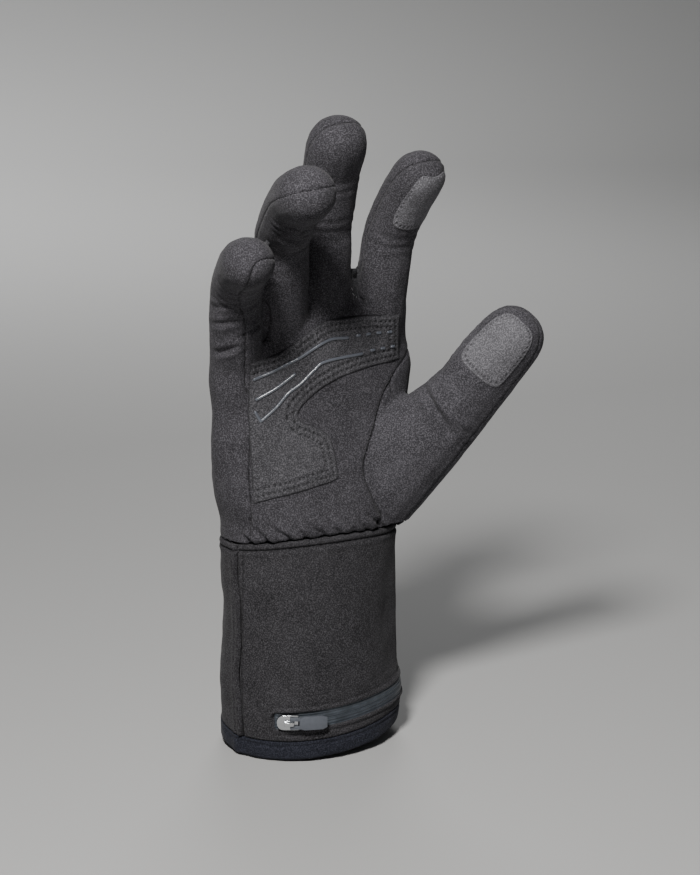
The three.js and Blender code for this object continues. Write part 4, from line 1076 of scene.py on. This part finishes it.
for digit, (line, side_way, (first, last), turned, spread) in touch_lines.items():
    shares = np.array([row[0] for row in line])
    middles = np.array([row[1] for row in line])
    pads = np.array([row[2] for row in line])
    u, v = np.meshgrid(np.linspace(-1, 1, count), np.linspace(-1, 1, count), indexing="ij")
    # A square of points drawn to a rounded outline.
    longest = np.maximum(np.abs(u), np.abs(v))
    corner = np.where(u < 0, 7.0, 3.0 if digit == "thumb" else 5.0)
    rounded = (np.abs(u) ** corner + np.abs(v) ** corner) ** (1 / corner)
    pull_in = np.where(rounded > 1e-9, longest / np.maximum(rounded, 1e-9), 1)
    pu, pv = u * pull_in, v * pull_in
    s = (first + last) / 2 + pu * (last - first) / 2
    a = np.radians(turned + pv * spread)

    def at(table, where):
        beyond = np.maximum(0, where - 1)[..., None] * (table[-1] - table[-2]) * 10
        return np.stack([np.interp(where, shares, table[:, k]) for k in range(3)], -1) + beyond

    root_share = np.minimum(s, last_root)
    outward = at(pads, s) * np.cos(a)[..., None] + np.array(side_way) * np.sin(a)[..., None]
    aim = unit(at(middles, s) + outward * 11 - at(middles, root_share))
    spots, ups = [], []
    for start, way in zip(at(middles, root_share).reshape(-1, 3) * MM, aim.reshape(-1, 3)):
        spot, up, _, _ = hand_tree.ray_cast(Vector(start) + Vector(way) * 0.03, -Vector(way))
        if spot is None:
            spot, up = hand_tree.find_nearest(Vector(start) + Vector(way) * 0.012)[:2]
        spots.append(spot[:])
        ups.append(up[:] if up.dot(Vector(way)) > 0 else (-up)[:])
    touch = sheet_of(f"{digit}_touch_cloth", np.array(spots).reshape(count, count, 3))
    touch_bm = bmesh.new()
    touch_bm.from_mesh(touch.data)
    inner_verts = [vert for vert in touch_bm.verts if not vert.is_boundary]
    for _ in range(10):
        bmesh.ops.smooth_vert(
            touch_bm, verts=inner_verts, factor=0.5, use_axis_x=True, use_axis_y=True, use_axis_z=True,
        )
    touch_bm.normal_update()
    if sum(vert.normal.dot(Vector(up)) for vert, up in zip(touch_bm.verts, ups)) < 0:
        bmesh.ops.reverse_faces(touch_bm, faces=touch_bm.faces)
        touch_bm.normal_update()
    from_edge = (1 - longest.ravel()) * (last - first) * touch_scale
    ring_turn = np.arctan2(pv.ravel(), pu.ravel())
    lift = -0.3 + 0.8 * (1 - np.exp(-from_edge / 0.35))
    touch_pits = swell(from_edge, 2.3, 0.6) * np.clip(2.2 * np.cos(ring_turn * 42) - 0.2, 0, 1)
    lift -= 0.12 * swell(from_edge, 1.5, 0.6) + 0.4 * touch_pits
    lift += 0.06 * ripple(np.array(spots), 6 * MM, 51)
    moves = [(vert.normal * up * MM) for vert, up in zip(touch_bm.verts, lift)]
    for vert, move in zip(touch_bm.verts, moves):
        vert.co += move
    turned_in(touch_bm, 0.8 * MM)
    touch_bm.to_mesh(touch.data)
    touch_bm.free()
    # Painted shade along the patch's sunk edge and in its stitch pits.
    touch_seam = np.zeros(len(touch.data.vertices))
    touch_seam[:len(from_edge)] = np.minimum(ramp(from_edge, 0.1, 3), 0.22 * (1 - touch_pits))
    add_measure(touch.data, "seam", touch_seam)
    touch.data.shade_smooth()
    touch.data.materials.append(touch_finish)
    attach(touch, "glove")
    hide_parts(f"{digit}_touch_patch")
